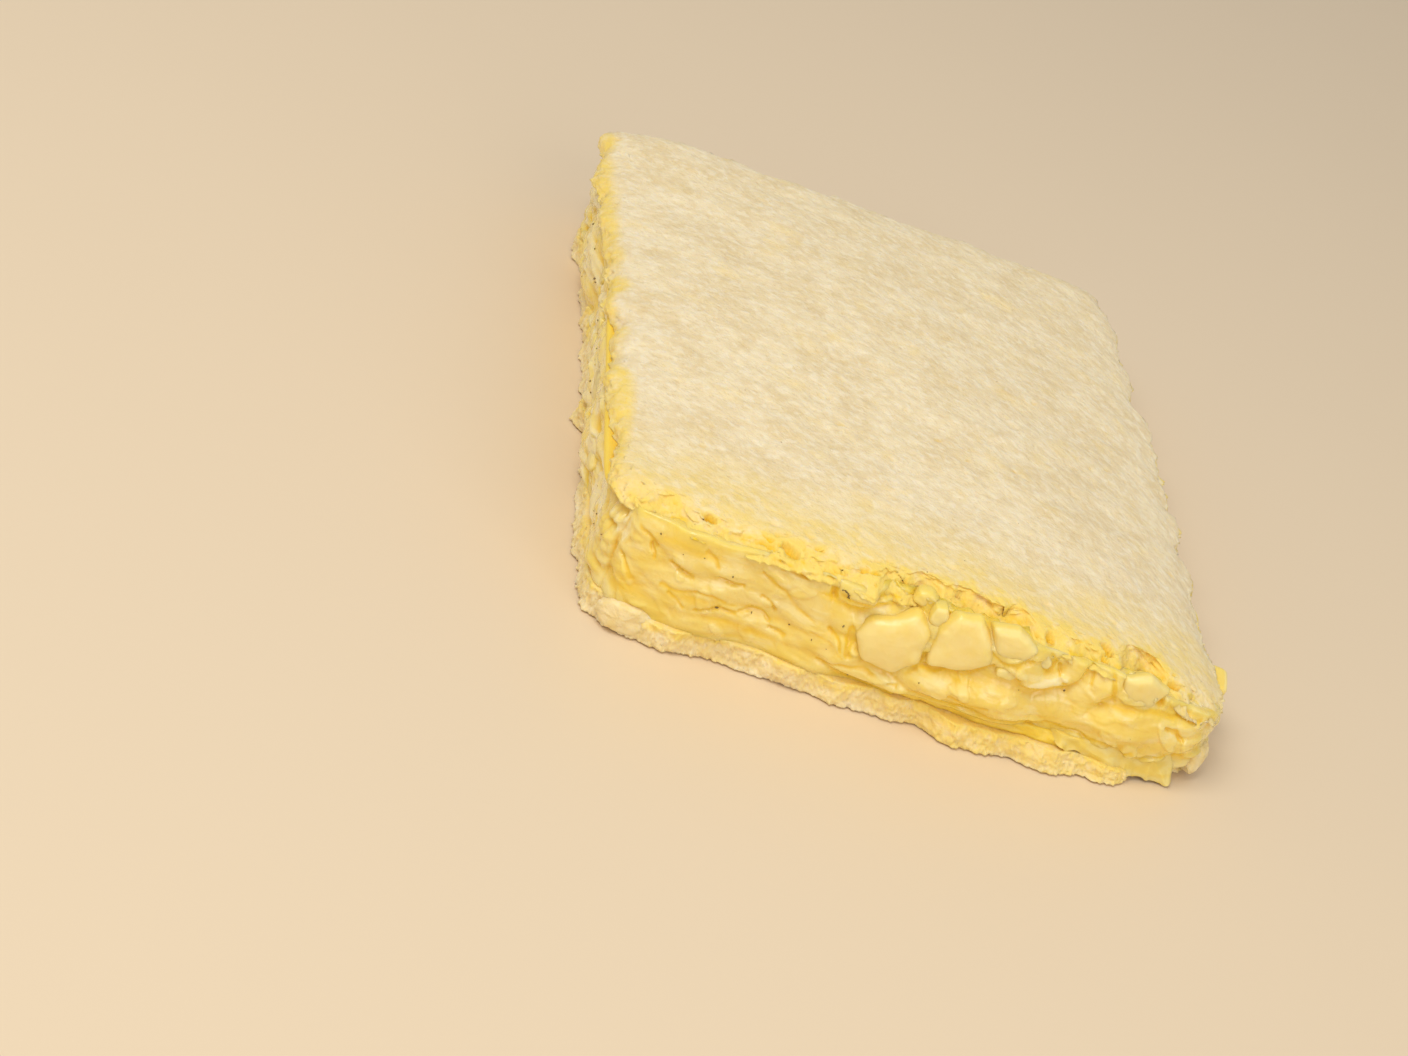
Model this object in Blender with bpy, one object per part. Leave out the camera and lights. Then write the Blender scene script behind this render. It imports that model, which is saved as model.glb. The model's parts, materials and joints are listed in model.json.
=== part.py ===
"""A chicken, egg and cheese sandwich on soft white bread with the crusts cut off, lying flat.

Two thin slices of bread hold two slices of cheese and, between those, a creamy mass of shredded
chicken and chopped boiled egg. The mass bulges out of the cut sides, and a few large pieces of
egg white stand in it at the front.

Frame: metres, +Z up. The origin is on the surface under the middle of the sandwich's box.
-Y is the cut side that shows best, and +X is that side's right-hand end.

Every layer starts as a cube cut into a fine box. Its points have square coordinates u, v from -1
to 1 in plan and w from 0 to 1 in height, and a few functions turn those into real places. The
layers share one height function, so that each lies on the one below with a hair's gap.
"""

import math

import bmesh
import bpy
import numpy as np
from mathutils import Matrix, Vector

MM = 0.001

# Plan of the sandwich
WIDTH = 95.0 * MM
FRONT_Y = -59.7 * MM
BACK_Y = 65.0 * MM
BELLY = 5.0 * MM
BELLY_SKEW = 3.0 * MM
CORNER_POWER = 18

# Height of the top along the front and the back edge, as cubics from left (-1) to right (1)
FRONT_HEIGHTS = (21.2 * MM, -1.4 * MM, -3.9 * MM, -3.5 * MM)
BACK_HEIGHTS = (19.2 * MM, -2.4 * MM, -2.4 * MM, 1.2 * MM)
CROWN = 1.6 * MM

# Where the filling swells out at the front right corner
CORNER_PLACE = (43.0 * MM, -58.0 * MM)
CORNER_SPAN = 13.0 * MM
CORNER_BULGE = 1.4 * MM

# Thickness of each layer as a share of the height there, in the middle and at the rim
LOW_BREAD = (0.235, 0.175)
CHEESE = 0.07
HIGH_BREAD = (0.205, 0.135)
RIM_POWER = 8
GAP = 0.3 * MM

# Cheese slices, smaller than the bread and laid a little askew
SLICE_SIZE = (86.0 * MM, 112.0 * MM)
SLICE_CORNER_POWER = 24
HIGH_SLICE_PLACE = (-3.8 * MM, 1.0 * MM, math.radians(-1.6))
LOW_SLICE_PLACE = (0.5 * MM, -5.5 * MM, math.radians(-3.5))
SLICE_MARGIN = 2.0 * MM
SLICE_RISE = 5.0 * MM
TIP_PLACE = (38.0 * MM, -63.0 * MM)
TIP_SPAN = 8.0 * MM
TIP_REACH = 1.4 * MM
TIP_DROP = 1.2 * MM

# Large chicken shreds in the front wall, in mm: x, height of the middle, half length,
# half thickness, tilt in degrees, and how far it stands out
FRONT_SHREDS = (
    (-41.5, 16.0, 5.5, 2.4, -18, 1.0),
    (-28.0, 16.2, 9.5, 2.2, -4, 1.0),
    (-15.0, 17.4, 6.5, 1.9, 4, 1.0),
    (-37.0, 10.8, 8.0, 2.0, -18, 1.0),
    (-21.5, 12.2, 9.0, 2.1, -10, 1.1),
    (-29.0, 7.4, 9.5, 1.8, 5, 0.9),
    (-13.5, 7.2, 7.0, 1.7, -6, 0.9),
    (7.0, 8.0, 9.5, 2.4, 2, 1.5),
    (20.0, 8.6, 8.0, 2.6, -2, 1.5),
    (16.5, 13.4, 5.0, 1.6, 14, 1.1),
    (24.5, 13.2, 4.4, 2.2, 36, 1.2),
    (33.0, 8.2, 9.5, 3.0, 2, 1.8),
    (42.0, 7.6, 5.0, 2.8, 8, 1.6),
)

# Shreds in the other sides, drawn at random in rows
SHRED_ROWS = 3
SHREDS_PER_SIDE = {1: 5, 2: 4, 3: 5}
SHRED_LENGTH = (13.0 * MM, 19.0 * MM)
SHRED_THICKNESS = (3.0 * MM, 4.2 * MM)
SHRED_SEED = 25

# Large pieces of egg white in the front wall: how far the face stands out, and the outline's
# corners, x and height in mm
EGG_WHITES = (
    (1.5, ((-9.8, 14.6), (-8.4, 16.4), (-3.2, 17.4), (-0.4, 14.6), (-1.6, 9.4), (-7.4, 8.4))),
    (1.3, ((1.6, 19.6), (4.4, 20.2), (8.8, 15.4), (7.2, 12.8), (0.6, 10.8))),
    (1.0, ((8.8, 18.6), (11.2, 19.4), (14.6, 17.0), (13.6, 14.6), (11.2, 14.4))),
    (1.2, ((28.4, 16.4), (32.0, 17.2), (36.4, 15.2), (33.4, 12.2), (29.6, 12.8))),
)
EGG_DEPTH = 7.0 * MM
EGG_ROUNDING = 0.55

# Where the upper bread's edge is torn back over the egg pieces: first and last x, and how far
TEARS = ((-10.5 * MM, 14.5 * MM, 3.0 * MM), (27.5 * MM, 37.0 * MM, 3.2 * MM))
TEAR_FADE = 2.5 * MM

BREAD_COLOUR = (0.87, 0.78, 0.58, 1.0)
CHEESE_COLOUR = (0.93, 0.72, 0.26, 1.0)
FILLING_COLOUR = (0.90, 0.73, 0.34, 1.0)
EGG_COLOUR = (0.93, 0.82, 0.52, 1.0)


class Ripple:
    """A wavy line round the rim: a sum of sines of the angle, with seeded phases."""

    def __init__(self, seed, size, waves):
        draw = np.random.default_rng(seed)
        self.counts = np.array(waves)
        self.phases = draw.uniform(0, 2 * math.pi, len(waves))
        self.size = size / math.sqrt(len(waves))

    def __call__(self, angle):
        return self.size * float(np.sin(self.counts * angle + self.phases).sum())


TOP_EDGE = Ripple(3, 0.8 * MM, (3, 7, 13, 19, 28, 37))
LOW_EDGE = Ripple(5, 0.8 * MM, (4, 9, 15, 23, 31, 40))
FILLING_EDGE = Ripple(8, 0.7 * MM, (5, 8, 14, 22))


def mix(a, b, share):
    return a + (b - a) * share


def clamp(value, low, high):
    return min(max(value, low), high)


def smooth(value):
    value = clamp(value, 0.0, 1.0)
    return value * value * (3 - 2 * value)


def front_y(t):
    """The bowed front edge, for t from -1 at its left end to 1."""
    t = clamp(t, -1.0, 1.0)
    return FRONT_Y - (BELLY + BELLY_SKEW * t) * (1 - t * t)


def plan(u, v, reach):
    """The plan point of square coordinates u, v. The rim stands out by reach."""
    most = max(abs(u), abs(v), 1e-9)
    corner = most / (abs(u) ** CORNER_POWER + abs(v) ** CORNER_POWER) ** (1 / CORNER_POWER)
    out = Vector(((u / most) ** 9, (v / most) ** 9)).normalized() * reach * most**6
    x = u * corner * WIDTH / 2 + out.x
    y = mix(front_y(2 * x / WIDTH), BACK_Y, (v * corner + 1) / 2) + out.y
    return x, y


def square(x, y):
    """Square coordinates of a plan point, without the rounding of the corners."""
    t = clamp(2 * x / WIDTH, -1.0, 1.0)
    front = front_y(t)
    return t, clamp(2 * (y - front) / (BACK_Y - front) - 1, -1.0, 1.0)


def cubic(terms, t):
    return terms[0] + t * (terms[1] + t * (terms[2] + t * terms[3]))


def height(x, y):
    """Height of the sandwich's top over a plan point."""
    t, v = square(x, y)
    edge = mix(cubic(FRONT_HEIGHTS, t), cubic(BACK_HEIGHTS, t), (v + 1) / 2)
    return edge + CROWN * (1 - t * t) * (1 - v * v)


def rim(x, y):
    """0 over most of the plan, rising to 1 at its edge."""
    t, v = square(x, y)
    return max(abs(t), abs(v)) ** RIM_POWER


def at_tip(x, y):
    """1 where the lower cheese slice's corner hangs out, fading to 0 round it."""
    return math.exp(-((x - TIP_PLACE[0]) ** 2 + (y - TIP_PLACE[1]) ** 2) / TIP_SPAN**2)


def low_bread_top(x, y):
    return height(x, y) * mix(*LOW_BREAD, rim(x, y)) - TIP_DROP * at_tip(x, y)


def high_bread_bottom(x, y):
    return height(x, y) * (1 - mix(*HIGH_BREAD, rim(x, y)))


def beyond_slice(x, y, place):
    """How far a plan point lies outside a cheese slice, negative inside it."""
    cos, sin = math.cos(place[2]), math.sin(place[2])
    across, along = x - place[0], y - place[1]
    local = (across * cos + along * sin, along * cos - across * sin)
    return max(abs(local[0]) - SLICE_SIZE[0] / 2, abs(local[1]) - SLICE_SIZE[1] / 2)


def filling_bottom(x, y):
    """The lower slice's top, or the bread round the slice."""
    off = smooth((beyond_slice(x, y, LOW_SLICE_PLACE) - SLICE_RISE) / SLICE_MARGIN)
    return low_bread_top(x, y) + height(x, y) * CHEESE * (1 - off)


def filling_top(x, y):
    """The upper slice's underside, or the bread round the slice."""
    off = smooth((beyond_slice(x, y, HIGH_SLICE_PLACE) - SLICE_RISE) / SLICE_MARGIN)
    return high_bread_bottom(x, y) - height(x, y) * CHEESE * (1 - off)


def material(name, colour, roughness):
    made = bpy.data.materials.new(name)
    made.use_nodes = True
    shader = made.node_tree.nodes["Principled BSDF"]
    shader.inputs["Base Color"].default_value = colour
    shader.inputs["Roughness"].default_value = roughness
    made.diffuse_color = colour
    return made


def dense_ends(share):
    """Moves evenly spaced values from -1 to 1 towards both ends."""
    return math.copysign(1 - (1 - abs(share)) ** 1.35, share)


def box_mesh(counts):
    """A cube of side 2 cut into counts cells along x, y and z, closer together at the rim."""
    mesh = bmesh.new()
    bmesh.ops.create_cube(mesh, size=2)
    for axis, count in enumerate(counts):
        along = [e for e in mesh.edges if abs(e.verts[0].co[axis] - e.verts[1].co[axis]) > 1]
        if count > 1:
            bmesh.ops.subdivide_edges(mesh, edges=along, cuts=count - 1)
    for vert in mesh.verts:
        vert.co.x = dense_ends(vert.co.x)
        vert.co.y = dense_ends(vert.co.y)
    return mesh


def add_object(name, mesh, finish, collection):
    """Turns a bmesh into a named object with one material."""
    mesh.normal_update()
    bmesh.ops.recalc_face_normals(mesh, faces=mesh.faces)
    bmesh.ops.triangulate(mesh, faces=mesh.faces)
    data = bpy.data.meshes.new(name)
    mesh.to_mesh(data)
    mesh.free()
    data.shade_smooth()
    data.set_sharp_from_angle(angle=math.radians(50))
    data.materials.append(finish)
    made = bpy.data.objects.new(name, data)
    collection.objects.link(made)
    return made


def layer(counts, place):
    """A box whose points go where place(u, v, w, angle) says."""
    mesh = box_mesh(counts)
    for vert in mesh.verts:
        u, v, w = vert.co.x, vert.co.y, (vert.co.z + 1) / 2
        vert.co = place(u, v, w, math.atan2(v, u))
    return mesh


def rounded(w, depth):
    """How far a side draws in at its top and bottom."""
    return depth * (2 * w - 1) ** 2


def low_bread_point(u, v, w, angle):
    """The lower slice: flat below, with a ragged rim that draws back under the cheese's corner."""
    x, y = plan(u, v, 0)
    reach = LOW_EDGE(angle) - rounded(w, 0.5 * MM) - 2.6 * MM * at_tip(x, y)
    x, y = plan(u, v, reach)
    top = low_bread_top(x, y) - GAP / 2
    lift = 0.5 * MM * max(abs(u), abs(v)) ** 60
    return Vector((x, y, mix(lift, top, w)))


def torn(x):
    """How far the upper bread's front edge is torn back at x."""
    return max(
        depth * smooth((x - first) / TEAR_FADE) * smooth((last - x) / TEAR_FADE)
        for first, last, depth in TEARS
    )


def high_bread_point(u, v, w, angle):
    """The upper slice: its top rolls down to a thin ragged rim, torn back along the front."""
    x, y = plan(u, v, 0)
    reach = TOP_EDGE(angle) - rounded(w, 0.6 * MM) - torn(x) * smooth(-v * 8 - 7)
    x, y = plan(u, v, reach)
    most = max(abs(u), abs(v))
    dip = 0.35 * MM * math.sin(95 * x + 2) * math.sin(70 * y + 41 * x)
    top = height(x, y) + dip - 1.0 * MM * most**34
    return Vector((x, y, mix(high_bread_bottom(x, y) + GAP / 2, top, w)))


def slice_plan(u, v, place):
    """A cheese slice's plan: a turned rectangle with small round corners."""
    most = max(abs(u), abs(v), 1e-9)
    power = SLICE_CORNER_POWER
    corner = most / (abs(u) ** power + abs(v) ** power) ** (1 / power)
    local = Vector((u * corner * SLICE_SIZE[0] / 2, v * corner * SLICE_SIZE[1] / 2))
    cos, sin = math.cos(place[2]), math.sin(place[2])
    return (
        place[0] + local.x * cos - local.y * sin,
        place[1] + local.x * sin + local.y * cos,
    )


def high_slice_point(u, v, w, angle):
    x, y = slice_plan(u, v, HIGH_SLICE_PLACE)
    top = high_bread_bottom(x, y) - GAP / 2
    return Vector((x, y, top - (1 - w) * (height(x, y) * CHEESE - GAP)))


def low_slice_point(u, v, w, angle):
    """The lower slice, whose front right corner hangs out over the bread."""
    x, y = slice_plan(u, v, LOW_SLICE_PLACE)
    hang = at_tip(x, y) * max(abs(u), abs(v)) ** 12
    x += 0.55 * TIP_REACH * hang
    y -= TIP_REACH * hang
    bottom = low_bread_top(x, y) + GAP / 2
    thick = height(x, y) * CHEESE - GAP
    return Vector((x, y, bottom + w * thick - 0.5 * MM * hang**3))


def filling_point(u, v, w, angle):
    """The core of the filling, which bulges a little out of the sides."""
    reach = FILLING_EDGE(angle) - 0.6 * MM - rounded(w, 1.3 * MM)
    x, y = plan(u, v, 0)
    reach += CORNER_BULGE * math.exp(-math.dist((x, y), CORNER_PLACE) ** 2 / CORNER_SPAN**2)
    x, y = plan(u, v, reach)
    low, high = filling_bottom(x, y) + GAP / 2, filling_top(x, y) - GAP / 2
    return Vector((x, y, mix(low, high, w)))


def rim_square(side, along):
    """Square coordinates on one of the four sides, front first, for along from -1 to 1."""
    return ((along, -1), (1, along), (-along, 1), (-1, -along))[side]


def wall_frame(side, along, share):
    """A place on the filling's side wall: its point, the way along the wall, and outwards."""
    ends = []
    for step in (0, 0.01):
        u, v = rim_square(side, along + step)
        ends.append(Vector(plan(u, v, FILLING_EDGE(math.atan2(v, u)) - 0.6 * MM)))
    way = (ends[1] - ends[0]).normalized()
    low, high = filling_bottom(*ends[0]), filling_top(*ends[0])
    point = Vector((*ends[0], mix(low, high, share)))
    return point, Vector((way.x, way.y, 0)), Vector((way.y, -way.x, 0))


def piece_matrix(point, along, out, tilt, sizes):
    """Places a unit ball as a piece: sizes along the wall, outwards and up, tilted in the wall."""
    up = Vector((0, 0, 1))
    long_way = along * math.cos(tilt) + up * math.sin(tilt)
    up_way = up * math.cos(tilt) - along * math.sin(tilt)
    turn = Matrix((long_way, out, up_way)).transposed().to_4x4()
    return Matrix.Translation(point) @ turn @ Matrix.Diagonal((*sizes, 1))


def shred(number, point, way, out, tilt, sizes, finish, collection):
    """A long ball in the side wall, kept between the layers above and below the filling."""
    margin = GAP * (1 + 0.13 * (number % 7))
    mesh = bmesh.new()
    bmesh.ops.create_uvsphere(mesh, u_segments=8, v_segments=5, radius=1)
    mesh.transform(Matrix.Rotation(math.pi / 2, 4, "Y"))
    mesh.transform(piece_matrix(point, way, out, tilt, sizes))
    for vert in mesh.verts:
        x, y, z = vert.co
        low = filling_bottom(x, y) + margin
        vert.co.z = clamp(z, low, max(low, filling_top(x, y) - margin))
    add_object(f"shred_{number}", mesh, finish, collection)


def front_shreds(finish, collection):
    """The listed shreds, each following the bowed front wall."""
    for number, facts in enumerate(FRONT_SHREDS):
        x, z, half_length, half_height, tilt, stand_out = facts
        along = 2 * x * MM / WIDTH
        point, way, out = wall_frame(0, along, 0.5)
        half_depth = half_height * 1.1
        point = Vector((point.x, point.y, z * MM)) + out * (stand_out - half_depth) * MM
        sizes = Vector((half_length, half_depth, half_height)) * MM
        shred(number, point, way, out, math.radians(tilt), sizes, finish, collection)


def other_shreds(finish, collection):
    """Rows of shreds in the right, back and left walls, each half sunk in the core."""
    draw = np.random.default_rng(SHRED_SEED)
    places = [
        (row, side, place)
        for row in range(SHRED_ROWS)
        for side, count in SHREDS_PER_SIDE.items()
        for place in range(count)
    ]
    for number, (row, side, place) in enumerate(places, len(FRONT_SHREDS)):
        along = 2 * (place + draw.uniform(0.2, 0.8)) / SHREDS_PER_SIDE[side] - 1
        share = (row + 0.5) / SHRED_ROWS + draw.uniform(-0.05, 0.05)
        length = draw.uniform(*SHRED_LENGTH)
        thick = draw.uniform(*SHRED_THICKNESS)
        tilt = draw.uniform(-0.22, 0.22)
        point, way, out = wall_frame(side, along, share)
        room = filling_top(point.x, point.y) - filling_bottom(point.x, point.y)
        sizes = Vector((length, thick * 1.1, thick)) * clamp(room / (12 * MM), 0.6, 1.0) / 2
        shred(number, point - out * 0.4 * sizes.y, way, out, tilt, sizes, finish, collection)


def outline_radius(corners, angle):
    """Distance from the origin to a polygon's edge in one direction."""
    ray = Vector((math.cos(angle), math.sin(angle)))
    found = []
    for first, second in zip(corners, corners[1:] + corners[:1]):
        edge = second - first
        across = ray.x * edge.y - ray.y * edge.x
        if abs(across) > 1e-12:
            reach = (first.x * edge.y - first.y * edge.x) / across
            share = (first.x * ray.y - first.y * ray.x) / across
            if reach > 0 and 0 <= share <= 1:
                found.append(reach)
    return max(found)


def rounded_radius(corners, angle):
    """The same with its corners rounded, as the mean over a range of directions."""
    turns = [angle + (step - 3) * EGG_ROUNDING / 6 for step in range(7)]
    return sum(outline_radius(corners, turn) for turn in turns) / len(turns)


def ceiling(x, y):
    """How high a piece in the front wall may reach: the filling's top, or more in a tear."""
    t = clamp(2 * x / WIDTH, -1.0, 1.0)
    free = smooth((front_y(t) + torn(x) - 0.8 * MM - y) / MM)
    return mix(filling_top(x, y) - GAP / 2, height(x, y) - 0.8 * MM, free)


def egg_white(name, facts, grow, finish, collection):
    """A thick pillow of the given outline in the front wall. grow makes its pocket, open above."""
    stand_out, points = facts
    middle = sum((Vector(point) for point in points), Vector((0, 0))) / len(points)
    corners = [(Vector(point) - middle) * MM for point in points]
    mesh = bmesh.new()
    bmesh.ops.create_uvsphere(mesh, u_segments=14, v_segments=7, radius=1)
    for vert in mesh.verts:
        across, up, out = vert.co
        ring = math.hypot(across, up)
        radius = rounded_radius(corners, math.atan2(up, across)) + grow
        share = ring**0.6 * radius / max(ring, 1e-9)
        depth = math.copysign(abs(out) ** 0.7, out) * (EGG_DEPTH / 2 + grow)
        x = middle.x * MM + across * share
        y = front_y(2 * x / WIDTH) - stand_out * MM + EGG_DEPTH / 2 - depth
        z = middle.y * MM + up * share
        if grow and up > 0 and middle.y > 14:
            z += 3 * MM * up
        else:
            over = z - ceiling(x, y)
            z -= (over + math.hypot(over, 0.4 * MM)) / 2
        vert.co = (x, y, z)
    return add_object(name, mesh, finish, collection)


def boolean(target, collection, operation):
    """Joins or cuts target with every object of a collection, then removes those."""
    modifier = target.modifiers.new(operation.lower(), "BOOLEAN")
    modifier.operation = operation
    modifier.operand_type = "COLLECTION"
    modifier.collection = collection
    modifier.solver = "EXACT"
    graph = bpy.context.evaluated_depsgraph_get()
    joined = bpy.data.meshes.new_from_object(target.evaluated_get(graph))
    target.modifiers.clear()
    target.data = joined
    for item in list(collection.objects):
        bpy.data.objects.remove(item)
    bpy.data.collections.remove(collection)


def side_collection(name):
    made = bpy.data.collections.new(name)
    bpy.context.scene.collection.children.link(made)
    return made


def filling(finish, sandwich):
    """The core with its shreds fused on, and a pocket for each large piece of egg white."""
    core = add_object("filling", layer((14, 18, 3), filling_point), finish, sandwich)
    pieces = side_collection("filling pieces")
    front_shreds(finish, pieces)
    other_shreds(finish, pieces)
    boolean(core, pieces, "UNION")
    pockets = side_collection("egg pockets")
    for number, facts in enumerate(EGG_WHITES, 1):
        egg_white(f"pocket_{number}", facts, 2 * GAP, finish, pockets)
    boolean(core, pockets, "DIFFERENCE")


def main():
    for item in list(bpy.data.objects):
        bpy.data.objects.remove(item)
    sandwich = side_collection("sandwich")
    bread = material("bread", BREAD_COLOUR, 0.9)
    cheese = material("cheese", CHEESE_COLOUR, 0.4)
    cream = material("chicken and egg cream", FILLING_COLOUR, 0.35)
    egg = material("egg white", EGG_COLOUR, 0.3)
    add_object("bread_bottom", layer((20, 26, 2), low_bread_point), bread, sandwich)
    add_object("cheese_lower", layer((12, 15, 1), low_slice_point), cheese, sandwich)
    filling(cream, sandwich)
    for number, facts in enumerate(EGG_WHITES, 1):
        egg_white(f"egg_white_{number}", facts, 0, egg, sandwich)
    add_object("cheese_upper", layer((11, 14, 1), high_slice_point), cheese, sandwich)
    add_object("bread_top", layer((22, 28, 2), high_bread_point), bread, sandwich)


main()
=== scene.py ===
import json
import math

import bpy
import numpy as np
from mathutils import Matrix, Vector

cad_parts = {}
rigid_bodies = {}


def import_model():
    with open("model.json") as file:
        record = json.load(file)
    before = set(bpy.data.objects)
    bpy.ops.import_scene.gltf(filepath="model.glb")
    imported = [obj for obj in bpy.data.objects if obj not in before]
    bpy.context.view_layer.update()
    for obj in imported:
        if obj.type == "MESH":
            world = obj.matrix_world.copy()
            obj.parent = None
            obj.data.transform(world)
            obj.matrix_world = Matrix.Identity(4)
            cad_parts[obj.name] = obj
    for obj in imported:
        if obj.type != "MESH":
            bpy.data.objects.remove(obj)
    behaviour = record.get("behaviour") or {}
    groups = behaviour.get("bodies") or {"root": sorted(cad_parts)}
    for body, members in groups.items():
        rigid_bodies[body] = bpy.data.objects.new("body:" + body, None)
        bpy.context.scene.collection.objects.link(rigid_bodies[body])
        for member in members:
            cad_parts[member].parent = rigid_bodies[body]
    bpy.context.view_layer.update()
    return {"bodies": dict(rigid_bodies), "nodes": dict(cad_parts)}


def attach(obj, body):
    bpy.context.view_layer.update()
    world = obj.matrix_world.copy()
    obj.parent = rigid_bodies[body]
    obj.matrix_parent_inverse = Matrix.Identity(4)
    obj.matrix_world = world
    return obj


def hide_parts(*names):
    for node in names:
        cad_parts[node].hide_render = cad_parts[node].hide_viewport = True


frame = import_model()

bl_info = {
    "name": "Chicken, egg and cheese sandwich",
    "version": (1, 0, 0),
    "blender": (4, 5, 0),
    "location": "View3D > Sidebar > Sandwich",
    "description": "Builds the crumb, the creamy filling, the egg, the cheese and the stage",
    "category": "Add Mesh",
}

MM = 0.001

# Plan of the sandwich
WIDTH = 95.0 * MM
FRONT_Y = -59.7 * MM
BACK_Y = 65.0 * MM
BELLY = 5.0 * MM
BELLY_SKEW = 3.0 * MM
CORNER_POWER = 18
TOP_CORNER_POWER = 36

# Height of the top along the front and the back edge, as cubics from left (-1) to right (1)
FRONT_HEIGHTS = (21.2 * MM, -1.4 * MM, -3.9 * MM, -3.5 * MM)
BACK_HEIGHTS = (19.2 * MM, -2.4 * MM, -2.4 * MM, 1.2 * MM)
CROWN = 1.6 * MM

# Where the filling swells out at the front right corner
CORNER_PLACE = (43.0 * MM, -58.0 * MM)
CORNER_SPAN = 13.0 * MM
CORNER_BULGE = 1.4 * MM

# Thickness of each layer as a share of the height there, in the middle and at the rim
LOW_BREAD = (0.235, 0.175)
CHEESE = 0.07
HIGH_BREAD = (0.205, 0.135)
RIM_POWER = 8
GAP = 0.3 * MM

# Cheese slices, smaller than the bread and laid a little askew
SLICE_SIZE = (86.0 * MM, 112.0 * MM)
SLICE_CORNER_POWER = 24
HIGH_SLICE_PLACE = (-3.8 * MM, 1.0 * MM, math.radians(-1.6))
LOW_SLICE_PLACE = (0.5 * MM, -5.5 * MM, math.radians(-3.5))
SLICE_MARGIN = 2.0 * MM
SLICE_RISE = 5.0 * MM
TIP_PLACE = (38.0 * MM, -63.0 * MM)
TIP_SPAN = 8.0 * MM
TIP_DROP = 1.2 * MM

# Where the upper bread's edge is torn back over the filling: first and last x, and how far
TEARS = (
    (-10.5 * MM, 14.5 * MM, 2.7 * MM),
    (27.5 * MM, 37.0 * MM, 2.8 * MM),
    (-48.0 * MM, -36.0 * MM, 1.0 * MM),
)
TEAR_FADE = 2.5 * MM

# Front flakes of the filling in mm: x, height, half length, half height, tilt in degrees,
# how far it stands out, and how pale it is from 0 to 1
FRONT_FLAKES = (
    (-43.4, 17.8, 4.4, 1.7, -14, 1.2, 0.8),
    (-46.2, 14.0, 4.6, 0.6, 78, 1.3, 1.0),
    (-47.6, 12.0, 5.0, 0.6, 82, 1.2, 0.9),
    (-45.1, 15.6, 3.2, 0.5, 70, 1.2, 0.9),
    (-10.2, 9.4, 3.2, 1.7, -30, 1.9, 0.4),
    (-33.5, 18.2, 8.5, 2.1, 2, 1.1, 0.3),
    (-22.5, 18.4, 7.0, 1.9, -4, 1.1, 0.5),
    (-12.0, 18.4, 5.6, 2.2, 5, 1.7, 0.6),
    (-42.0, 14.4, 3.6, 1.9, -34, 1.1, 0.3),
    (-36.0, 15.4, 5.0, 1.5, -20, 1.3, 0.6),
    (-27.0, 15.0, 8.5, 1.8, -8, 1.6, 0.5),
    (-19.0, 15.4, 6.6, 1.8, -28, 1.8, 0.7),
    (-12.6, 13.6, 4.0, 1.5, -18, 1.4, 0.4),
    (-44.5, 9.6, 3.0, 2.2, -45, 1.3, 0.1),
    (-39.0, 11.2, 6.0, 1.6, -22, 1.2, 0.3),
    (-29.0, 11.7, 9.0, 1.6, 4, 1.5, 0.5),
    (-18.0, 11.4, 6.0, 1.5, -14, 1.4, 0.4),
    (-34.0, 8.4, 7.0, 1.4, 6, 1.1, 0.2),
    (-23.5, 8.3, 8.0, 1.4, -6, 1.3, 0.5),
    (-13.0, 8.4, 6.0, 1.4, -8, 1.4, 0.4),
    (-40.0, 6.4, 4.5, 1.4, -10, 1.2, 0.2),
    (-30.0, 5.7, 6.5, 1.2, 10, 1.2, 0.6),
    (-18.5, 5.5, 8.0, 1.2, -5, 1.3, 0.3),
    (-6.0, 6.4, 8.0, 1.6, -8, 1.9, 0.5),
    (-5.0, 12.8, 6.6, 5.2, 0, 1.1, 0.3),
    (4.4, 16.0, 5.6, 4.6, 0, 1.0, 0.3),
    (11.0, 17.4, 4.4, 3.2, -20, 0.9, 0.4),
    (32.5, 15.2, 5.4, 3.2, 0, 1.0, 0.3),
    (6.5, 9.0, 9.4, 2.7, 3, 2.1, 0.1),
    (14.5, 8.2, 7.5, 2.3, -3, 1.9, 0.2),
    (17.2, 13.3, 3.8, 1.0, 14, 1.9, 1.0),
    (13.0, 15.0, 3.6, 1.5, -24, 1.4, 0.6),
    (20.6, 15.2, 3.0, 1.6, 64, 1.3, 0.5),
    (24.8, 13.4, 4.0, 2.4, 38, 1.7, 0.5),
    (23.0, 9.2, 6.6, 2.8, -5, 2.1, 0.1),
    (32.5, 9.0, 10.0, 3.1, 2, 2.8, 0.15),
    (40.5, 8.4, 5.8, 3.4, 10, 2.8, 0.15),
    (27.0, 5.8, 7.0, 1.3, -7, 1.7, 0.1),
    (37.0, 5.0, 5.5, 1.4, -12, 2.0, 0.2),
    (9.0, 4.2, 12.0, 1.7, -3, 1.6, 0.0),
    (25.0, 4.0, 10.0, 1.7, -5, 2.0, 0.0),
    (5.0, 5.1, 2.5, 0.9, 4, 1.9, 0.7),
    (8.8, 4.4, 1.9, 1.0, 20, 2.1, 0.8),
    (13.6, 4.8, 2.4, 0.9, -8, 1.9, 0.7),
    (23.8, 4.4, 3.0, 1.1, 12, 2.5, 0.9),
)

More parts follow.
